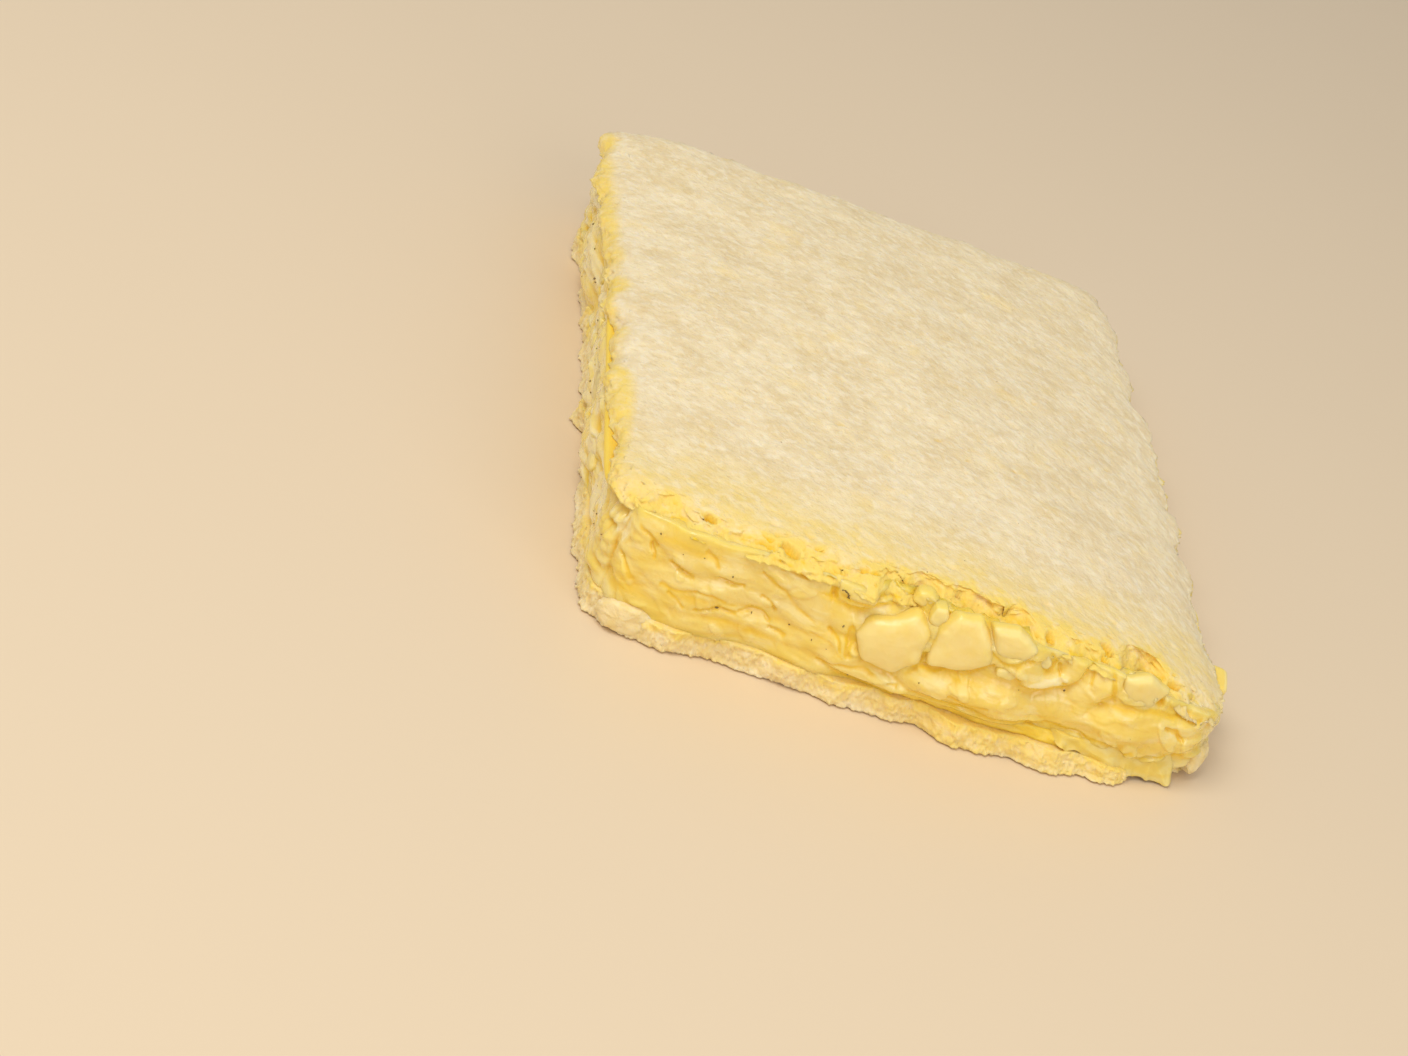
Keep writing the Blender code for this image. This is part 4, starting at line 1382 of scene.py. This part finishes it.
def wall_heights(x, y, v, w, front, open_top):
    """Heights of the filling's points, from its foot to its top, which w runs between.

    The foot lies on the cheese, or on the lower slice past the cheese's edge. The top lies under
    the upper layers in the same way, climbs a little in front, and stands up where the bread
    over it is torn away.
    """
    low_off = smooth(beyond_slice(x, y, LOW_SLICE_PLACE) / MM + 2.2)
    high_off = smooth(beyond_slice(x, y, HIGH_SLICE_PLACE) / MM + 0.5)
    band = smooth(x / (3 * MM) + 1) * smooth((34 * MM - x) / (3 * MM)) * (v < -0.9)
    low_off = low_off * (1 - band)
    low = low_bread_top(x, y) + height(x, y) * CHEESE * (1 - low_off) - 0.15 * MM
    high = high_bread_bottom(x, y) - height(x, y) * CHEESE * (1 - high_off) + 0.4 * MM
    climb = 0.5 + 0.5 * noise(stack(x, y, 0 * x), 3.4 * MM, 84)
    high = high + 0.9 * MM * climb * front * (1 - past(x, 34, 4))
    lumpy = 0.7 * MM * layered_noise(stack(x, y, 0 * x), 2.0 * MM, 83, 2)
    return mix(low, mix(high, height(x, y) - 1.5 * MM + lumpy, open_top), w)


def wall_relief(s, z, left, shape, flake_height):
    """How far the wall stands out at places s, z, how pale it is there, and its creases.

    The relief is the softened flakes, thin fibres and chips over them, and a soft flow along the
    wall, less the creases. It is lower on the left half of the front, where left is 1.
    """
    place = stack(s, 0 * s, z)
    warp = 1.2 * MM * layered_noise(place, (9 * MM, 1, 4 * MM), 81, 2)
    flakes = list(FRONT_FLAKES) + side_flakes(9)
    relief, pale = flake_relief(s + 0.7 * warp, z + 0.3 * warp, flakes)
    calm = np.maximum(between(s, 19, 52, 6, 5), 0.4)
    relief = mix(rows_softened(relief, shape, 1), rows_softened(relief, shape, 4), calm)
    flow = 0.24 * MM * layered_noise(stack(s, 0 * s, z + warp), (8 * MM, 1, 1.9 * MM), 85, 3)
    fibre, _ = flake_relief(s, z + 0.5 * warp, fibre_flakes(19))
    fibre = rows_softened(fibre, shape, 1)
    chip, chip_pale = flake_relief(s, z + 0.3 * warp, chip_flakes(27))
    small = (0.7 * fibre + 0.75 * chip) * (1 - 0.30 * left)
    relief = flake_height * (relief * (1 - 0.58 * left) + small) + flow * (1 - 0.35 * left)
    wander = 0.5 * MM * noise(place, 1.8 * MM, 87)
    lines = CREASES + tuple(side_creases(21))
    crease = crease_relief(s + 0.3 * warp, z + 0.2 * warp + wander, lines)
    crease = crease * (0.75 + 0.45 * noise(place, 2.2 * MM, 89))
    pale = mix(pale, chip_pale, 0.6 * smooth(chip / (0.15 * MM)))
    pale = rows_softened(pale, shape, 2) + 200 * fibre
    return np.maximum(relief - 0.6 * crease, -0.9 * MM), pale, crease


def wall_painted_shade(s, z, reach, crease, left, shape):
    """How much painted shade each point of the wall gets, past 1 where it is deepest:
    deep yellow where shade falls in its dents, creases and crevices.

    The depth is how far the wall there is below its softened self, twice, with a narrow and a
    wide window, and more in creases and in the patches of painted crevice shade.
    """
    grid = reach[:-2].reshape(shape)
    dent = (soften(grid, 3) - grid) / (0.30 * MM) + (soften(grid, 8) - grid) / (1.0 * MM)
    dent = np.concatenate([dent.reshape(-1), [0, 0]]) * (0.75 - 0.25 * left)
    grain = 0.5 + 0.5 * noise(stack(s, 0 * s, z), (3 * MM, 1, 1.2 * MM), 88)
    return dent + 0.95 * smooth(crease / (0.5 * MM)) + crevice_shade_field(s, z, grain)


class Wall:
    """The filling's body, with the relief of its side wall."""

    ROWS = 62

    def __init__(self, flake_height):
        wall = [(1.0, level) for level in np.linspace(1, 0, self.ROWS)]
        over = [(reach, 1.0) for reach in (0.5, 0.8, 0.9, 0.94, 0.965, 0.985)]
        profile = over + wall + [(reach, 0.0) for reach in (0.98, 0.9, 0.5)]
        u, v, w, self.quads, self.triangles = ring_body(WALL_COLUMNS, profile)
        shape = (len(profile), sum(WALL_COLUMNS))
        self.rim = Rim(WALL_COLUMNS)
        s = np.concatenate([np.tile(self.rim.s, len(profile)), [0, 0]])
        x, y = plan(u, v, 0)
        front = smooth(-v * 60 - 57)
        left = between(s, -60, -11, 12, 4)
        open_top = past(torn(x), 0.8, 1.2) * front
        z = wall_heights(x, y, v, w, front, open_top)
        relief, pale, crease = wall_relief(s, z, left, shape, flake_height)

        broken = 0.9 * layered_noise(stack(s, 0 * s, z), 1.8 * MM, 86, 2)
        tuck = 0.5 * MM * smooth(w * 12 - 11) * (1 - front)
        tuck = tuck + (1.3 + broken) * MM * open_top * smooth(w * 7 - 5.4)
        reach = filling_edge(np.arctan2(v, u)) - 0.7 * MM - tuck - left_trim(u)
        fade = 1 - np.abs(2 * w - 1) ** (14 + 26 * front * (w > 0.5))
        reach = reach + CORNER_BULGE * hill(x, y, CORNER_PLACE, CORNER_SPAN) + relief * fade

        # Painted shade: deep yellow in the wall's dents and creases, and just under the torn
        # bread's edge
        shade_under_bread = open_top * smooth(w * 8 - 6.6) * (0.5 + 0.5 * np.clip(2 * broken, -1, 1))
        self.painted_shade = np.clip(wall_painted_shade(s, z, reach, crease, left, shape) + shade_under_bread, 0, 1)
        left_side = near_side(-u, 12) * smooth(v * 8 + 7.5)
        self.pale = np.clip(pale + 0.35 * left_side, 0, 1)
        most = np.maximum(np.abs(u), np.abs(v))
        x, y = plan(u, v, reach * smooth((most - 0.9) / 0.1))
        self.points = stack(x, y, z)
        rows = slice(len(over), len(over) + self.ROWS)
        self.face = self.points[:-2].reshape(*shape, 3)[rows]

    def at(self, s, z, out):
        """The face's point nearest to distance s round the rim and height z, moved outwards."""
        column = np.searchsorted(self.rim.s, (s - self.rim.s[0]) % RIM.length + self.rim.s[0])
        column = np.clip(column, 0, len(self.rim.s) - 1)
        row = np.abs(self.face[:, column, 2] - z).argmin(axis=0)
        place = self.face[row, column]
        out_x, out_y = RIM.outward(s)
        return place[..., 0] + out_x * out, place[..., 1] + out_y * out


def build_filling(settings, finish):
    """The creamy mass, its side wall raised in overlapping flakes, folds and fine fibres."""
    wall = Wall(settings.flake_height)
    make_piece("filling_cream", wall.points, wall.quads, finish, wall.triangles,
               {"pale": wall.pale, "painted_shade": wall.painted_shade}, replaced=["filling"])


# Egg
def egg_finish(settings):
    """Boiled egg white under a thin film of cream, yellow partly from the cream and partly as
    painted
    yellow bounce light: smooth, soft-edged and a little see-through.
    """
    finish = Finish(
        "egg white",
        Subsurface_Weight=0.42,
        Subsurface_Scale=0.0028,
        Subsurface_Radius=(1.0, 0.92, 0.48),
        IOR=1.40,
        Coat_Weight=0.2,
        Coat_Roughness=0.10,
    )
    film = finish.grain(3.5 * MM, 2).step(0.45, 0.70)
    rim = finish.attribute("rim") + 0.6 * finish.grain(1.8 * MM, 3) - 0.3
    colour = finish.mix(film * 0.40, tuple(settings.colour), CREAM_MIDDLE)
    finish.feed("Base Color", finish.mix(rim.step(0.35, 0.95) * 0.85, colour, CREAM_MIDDLE))
    finish.feed("Roughness", 0.30 + 0.18 * finish.grain(1.6 * MM, 2).step(0.4, 0.6))
    finish.bump(finish.grain(1.4 * MM, 2), 0.10 * MM)
    return finish.material


def build_egg(finish):
    """The large egg-white pieces, each a pillow set in the front wall and following its bow."""
    for number, (stand_out, outline) in enumerate(EGG_WHITES, 1):
        corners = np.array(outline) * MM
        middle = corners.mean(axis=0)
        points, quads, triangles = pillow(corners - middle, EGG_DEPTH, 90 + number, 0.20)
        out = points[:, 2] - EGG_DEPTH / 2 + stand_out * MM
        x, y = RIM.at(middle[0] + points[:, 0], out)
        z = middle[1] + points[:, 1]
        lean = smooth(-out / (5 * MM))
        z = z - lean * np.maximum(0, z - filling_top(x, y) + 0.3 * MM)
        rim = smooth(-points[:, 2] / EGG_DEPTH * 5 + 2.5)
        make_piece(f"egg_white_piece_{number}", stack(x, y, z), quads, finish, triangles,
                   {"rim": rim}, replaced=[f"egg_white_{number}"])


def small_egg_bits():
    """The small bits of egg, with seeded ones added on the right, back and left walls."""
    listed = list(SMALL_EGG_BITS)
    draw = np.random.default_rng(17)
    for _ in range(SMALL_EGG_SEEDED):
        place = draw.uniform(50, RIM.length / MM - 50)
        wide = draw.uniform(1.4, 3.4)
        level = draw.uniform(0.36, 0.62) * height(*RIM.at(place * MM, 0)) / MM
        listed.append((place, level, wide, wide * draw.uniform(0.45, 0.75),
                       draw.uniform(0.2, 0.6)))
    return listed


def build_egg_bits(settings, finish):
    """Small egg bits as pillows of seeded five-cornered outlines, joined into one mesh."""
    wall = Wall(settings.flake_height)
    draw = np.random.default_rng(23)
    bits, rims = [], []
    for number, (place, level, wide, tall, stand_out) in enumerate(small_egg_bits()):
        turns = (np.arange(5) + draw.uniform(-0.25, 0.25, 5)) / 5 * 2 * math.pi
        size = draw.uniform(0.8, 1.2, 5)
        corners = np.stack([wide * size * np.cos(turns), tall * size * np.sin(turns)], axis=-1)
        depth = (2.4 + stand_out) * MM
        points, quads, triangles = pillow(corners * MM, depth, 120 + number, 0.35, 56, 22)
        middle = wall.at(np.array([place * MM]), np.array([level * MM]), 0.0)
        rim = RIM.at(np.array([place * MM]), 0)
        out_x, out_y = RIM.outward(place * MM)
        base = (middle[0] - rim[0]) * out_x + (middle[1] - rim[1]) * out_y
        out = points[:, 2] - depth / 2 + stand_out * MM + base
        x, y = RIM.at(place * MM + points[:, 0], out)
        bits.append((stack(x, y, level * MM + points[:, 1]), quads, triangles))
        rims.append(smooth(-points[:, 2] / depth * 5 + 2.5))
    points, quads, triangles = joined(bits)
    make_piece("egg_bits", points, quads, finish, triangles, {"rim": np.concatenate(rims)})


# Pepper and herbs
def speck_finish():
    """Dark brown and olive bits."""
    finish = Finish("pepper and herb", Roughness=0.5)
    tone = finish.grain(1.5 * MM, 1).step(0.4, 0.6)
    finish.feed("Base Color", finish.mix(tone, SPECK_BROWN, SPECK_OLIVE))
    return finish.material


def build_specks(settings, finish):
    """Dark pepper and herb bits, thin flakes lying on the filling's face, and one curled herb.

    The herb is an arc of bits along an ellipse. Each bit is an icosahedron whose corners are
    moved in or out, stretched at random on each axis.
    """
    wall = Wall(settings.flake_height)
    draw = np.random.default_rng(47)
    bend = np.linspace(-0.4, 1.7, 26)
    curl = np.stack([HERB_MIDDLE[0] + HERB_RADII[0] * np.sin(bend),
                     HERB_MIDDLE[1] + HERB_RADII[1] * np.cos(bend)], axis=-1)
    round_rim = draw.uniform(48, RIM.length / MM - 48, PEPPER_SEEDED)
    seeded = np.stack([round_rim, draw.uniform(5, 13, PEPPER_SEEDED)], axis=-1)
    place, level = np.concatenate([PEPPER_PLACES, curl, seeded]).T * MM
    count = len(place)
    x, y = wall.at(place, level, 0.05 * MM)
    corners, faces = crumb_shape()
    sizes = draw.uniform(0.09, 0.21, count)
    sizes[len(PEPPER_PLACES) : len(PEPPER_PLACES) + len(curl)] = 0.11
    shape = corners * draw.uniform(0.6, 1.3, (count, 12, 1)) * draw.uniform(0.4, 1.5, (count, 1, 3))
    points = shape * sizes[:, None, None] * MM + stack(x, y, level)[:, None]
    triangles = faces + 12 * np.arange(count)[:, None, None]
    make_piece("pepper_specks", points.reshape(-1, 3), np.zeros((0, 4), int), finish,
               triangles.reshape(-1, 3))


# Stage
def lay_floor(settings):
    """A flat square floor under the sandwich."""
    finish = Finish("pale floor", Roughness=0.42, Specular_IOR_Level=0.4)
    tone = finish.grain(0.05, 2)
    finish.feed("Base Color", finish.mix(tone * 0.15, tuple(settings.floor), FLOOR_TONE))
    mesh = bpy.data.meshes.new("floor")
    corners = [(x * FLOOR_REACH, y * FLOOR_REACH, 0)
               for x, y in ((-1, -1), (1, -1), (1, 1), (-1, 1))]
    mesh.from_pydata(corners, [], [(0, 1, 2, 3)])
    mesh.materials.append(finish.material)
    floor = bpy.data.objects.new("floor", mesh)
    bpy.context.scene.collection.objects.link(floor)


def area_light(name, place, size, power, colour):
    """A square soft light that faces the origin."""
    data = bpy.data.lights.new(name, "AREA")
    data.size, data.energy, data.color = size, power, colour
    made = bpy.data.objects.new(name, data)
    made.location = place
    made.rotation_mode = "QUATERNION"
    made.rotation_quaternion = (-Vector(place)).to_track_quat("-Z", "Y")
    bpy.context.scene.collection.objects.link(made)


def camera_at(settings):
    """A camera on a ball round its target, rolled about its line of sight."""
    az, el, roll = settings.azimuth, settings.elevation, settings.roll
    back = Vector((math.sin(az) * math.cos(el), -math.cos(az) * math.cos(el), math.sin(el)))
    level = back.cross(Vector((0, 0, 1))) * -1
    level.normalize()
    up = level.cross(-back)
    right = level * math.cos(roll) + up * math.sin(roll)
    up = up * math.cos(roll) - level * math.sin(roll)
    data = bpy.data.cameras.new("camera")
    data.lens, data.sensor_width = settings.lens, SENSOR_WIDTH
    data.clip_start, data.clip_end = 0.01, 20
    made = bpy.data.objects.new("camera", data)
    matrix = made.matrix_world.copy()
    for column, axis in enumerate((right, up, back)):
        for row in range(3):
            matrix[row][column] = axis[row]
    matrix.translation = Vector(CAMERA_TARGET) + back * settings.distance
    made.matrix_world = matrix
    bpy.context.scene.collection.objects.link(made)
    bpy.context.scene.camera = made


# Settings
def colour_setting(name, description, default):
    """A colour that a user may change."""
    return bpy.props.FloatVectorProperty(
        name=name, description=description, subtype="COLOR", default=default, min=0, max=1)


def length_setting(name, description, default, **limits):
    """A length that a user may change."""
    return bpy.props.FloatProperty(
        name=name, description=description, unit="LENGTH", default=default, **limits)


def angle_setting(name, description, degrees):
    """An angle that a user may change, given in degrees."""
    return bpy.props.FloatProperty(
        name=name, description=description, subtype="ANGLE", default=math.radians(degrees))


class SandwichBread(bpy.types.PropertyGroup):
    light: colour_setting("Light crumb", "Colour of dry crumb", BREAD_LIGHT)
    dark: colour_setting("Moist crumb", "Colour of moist, pressed crumb", BREAD_DARK)
    fibre_width: length_setting(
        "Fibre width", "Width of the crumb's finest fibres", 0.75 * MM, min=0.2 * MM, max=4 * MM)
    pit_depth: length_setting(
        "Pit depth", "Depth of the larger pits in the top", 0.25 * MM, min=0, max=2 * MM)
    crumb_count: bpy.props.IntProperty(
        name="Crumbs", description="Number of small crumbs on each slice's edge",
        default=500, min=0)


class SandwichFilling(bpy.types.PropertyGroup):
    middle: colour_setting("Cream", "Colour of the creamy mass", CREAM_MIDDLE)
    pale: colour_setting("Pale flakes", "Colour of the palest flakes", CREAM_PALE)
    # Colour of the painted shade, deep yellow in the filling's dents, creases and crevices
    deep: colour_setting("Folds", "Colour deep in the folds", CREAM_PAINTED_SHADE)
    flake_height: bpy.props.FloatProperty(
        name="Flake height", description="Strength of the flakes' relief",
        default=0.8, min=0, max=2)


class SandwichEgg(bpy.types.PropertyGroup):
    # The egg white's colour holds painted yellow bounce light as well as the cream's tint
    colour: colour_setting("Egg white", "Colour of the egg white", EGG_CREAM_AND_BOUNCE)


class SandwichCheese(bpy.types.PropertyGroup):
    colour: colour_setting("Cheese", "Colour of the cheese slices", CHEESE_YELLOW)


class SandwichStage(bpy.types.PropertyGroup):
    azimuth: angle_setting("Azimuth", "Camera's turn round the sandwich", -13.797)
    elevation: angle_setting("Elevation", "Camera's angle above the floor", 30.331)
    roll: angle_setting("Roll", "Camera's roll about its line of sight", 21.977)
    distance: length_setting("Distance", "Camera's distance from its target", 0.40609)
    lens: bpy.props.FloatProperty(
        name="Lens", description="Focal length on a 36 mm sensor", default=69.03)
    floor: colour_setting("Floor", "Colour of the floor", FLOOR_PALE)
    key_power: bpy.props.FloatProperty(
        name="Key light", description="Power of the main light in watts", default=4.0)
    fill_power: bpy.props.FloatProperty(
        name="Fill light", description="Power of the front light in watts", default=1.9)
    sky: bpy.props.FloatProperty(
        name="Sky", description="Strength of the even light from all round", default=0.48)


# Operators and the panel
class SANDWICH_OT_bread_top(bpy.types.Operator):
    """Replaces the upper bread slice with its crumb"""

    bl_idname = "sandwich.bread_top"
    bl_label = "Upper bread"

    def execute(self, context):
        settings = context.scene.sandwich_bread
        build_bread_top(settings, bread_finish(settings))
        return {"FINISHED"}


class SANDWICH_OT_bread_bottom(bpy.types.Operator):
    """Replaces the lower bread slice with its crumb and adds the torn lumps"""

    bl_idname = "sandwich.bread_bottom"
    bl_label = "Lower bread"

    def execute(self, context):
        finish = bpy.data.materials["bread crumb"]
        build_bread_bottom(context.scene.sandwich_bread, finish)
        build_bread_lumps(finish)
        return {"FINISHED"}


class SANDWICH_OT_filling(bpy.types.Operator):
    """Replaces the filling with its creamy mass"""

    bl_idname = "sandwich.filling"
    bl_label = "Filling"

    def execute(self, context):
        settings = context.scene.sandwich_filling
        build_filling(settings, cream_finish(settings))
        return {"FINISHED"}


class SANDWICH_OT_egg(bpy.types.Operator):
    """Replaces the egg-white pieces and adds the small egg bits"""

    bl_idname = "sandwich.egg"
    bl_label = "Egg"

    def execute(self, context):
        finish = egg_finish(context.scene.sandwich_egg)
        build_egg(finish)
        build_egg_bits(context.scene.sandwich_filling, finish)
        return {"FINISHED"}


class SANDWICH_OT_cheese(bpy.types.Operator):
    """Replaces both cheese slices and hangs one corner out in front"""

    bl_idname = "sandwich.cheese"
    bl_label = "Cheese"

    def execute(self, context):
        finish = cheese_finish(context.scene.sandwich_cheese)
        build_cheese(finish)
        build_flap(finish)
        return {"FINISHED"}


class SANDWICH_OT_specks(bpy.types.Operator):
    """Adds the pepper and herb specks"""

    bl_idname = "sandwich.specks"
    bl_label = "Specks"

    def execute(self, context):
        build_specks(context.scene.sandwich_filling, speck_finish())
        return {"FINISHED"}


class SANDWICH_OT_stage(bpy.types.Operator):
    """Makes the floor, the soft lights and the camera"""

    bl_idname = "sandwich.stage"
    bl_label = "Stage"

    def execute(self, context):
        settings = context.scene.sandwich_stage
        lay_floor(settings)
        area_light("key", KEY_PLACE, KEY_SIZE, settings.key_power, KEY_COLOUR)
        area_light("fill", FILL_PLACE, FILL_SIZE, settings.fill_power, FILL_COLOUR)
        world = bpy.data.worlds.new("soft sky")
        world.use_nodes = True
        sky = world.node_tree.nodes["Background"]
        sky.inputs["Color"].default_value = SKY_COLOUR
        sky.inputs["Strength"].default_value = settings.sky
        context.scene.world = world
        context.scene.view_settings.view_transform = "Standard"
        camera_at(settings)
        return {"FINISHED"}


STEPS = ("bread_top", "bread_bottom", "filling", "egg", "cheese", "specks", "stage")


class SANDWICH_PT_panel(bpy.types.Panel):
    """Lists the sandwich's pieces and their settings"""

    bl_label = "Sandwich"
    bl_idname = "SANDWICH_PT_panel"
    bl_space_type = "VIEW_3D"
    bl_region_type = "UI"
    bl_category = "Sandwich"

    def draw(self, context):
        for group in GROUPS:
            settings = getattr(context.scene, group)
            for name in settings.bl_rna.properties.keys():
                if name not in ("rna_type", "name"):
                    self.layout.prop(settings, name)
        for step in STEPS:
            self.layout.operator(f"sandwich.{step}")


GROUPS = {
    "sandwich_bread": SandwichBread,
    "sandwich_filling": SandwichFilling,
    "sandwich_egg": SandwichEgg,
    "sandwich_cheese": SandwichCheese,
    "sandwich_stage": SandwichStage,
}
OPERATORS = (
    SANDWICH_OT_bread_top,
    SANDWICH_OT_bread_bottom,
    SANDWICH_OT_filling,
    SANDWICH_OT_egg,
    SANDWICH_OT_cheese,
    SANDWICH_OT_specks,
    SANDWICH_OT_stage,
    SANDWICH_PT_panel,
)


def register():
    for name, group in GROUPS.items():
        bpy.utils.register_class(group)
        setattr(bpy.types.Scene, name, bpy.props.PointerProperty(type=group))
    for operator in OPERATORS:
        bpy.utils.register_class(operator)


def unregister():
    for operator in reversed(OPERATORS):
        bpy.utils.unregister_class(operator)
    for name, group in GROUPS.items():
        delattr(bpy.types.Scene, name)
        bpy.utils.unregister_class(group)


def clear_startup():
    """Removes whatever the scene held besides the frame."""
    kept = set(frame["nodes"].values()) | set(frame["bodies"].values())
    for item in list(bpy.data.objects):
        if item not in kept:
            bpy.data.objects.remove(item)


def main():
    clear_startup()
    register()
    for step in STEPS:
        getattr(bpy.ops.sandwich, step)()


if __name__ == "__main__":
    main()
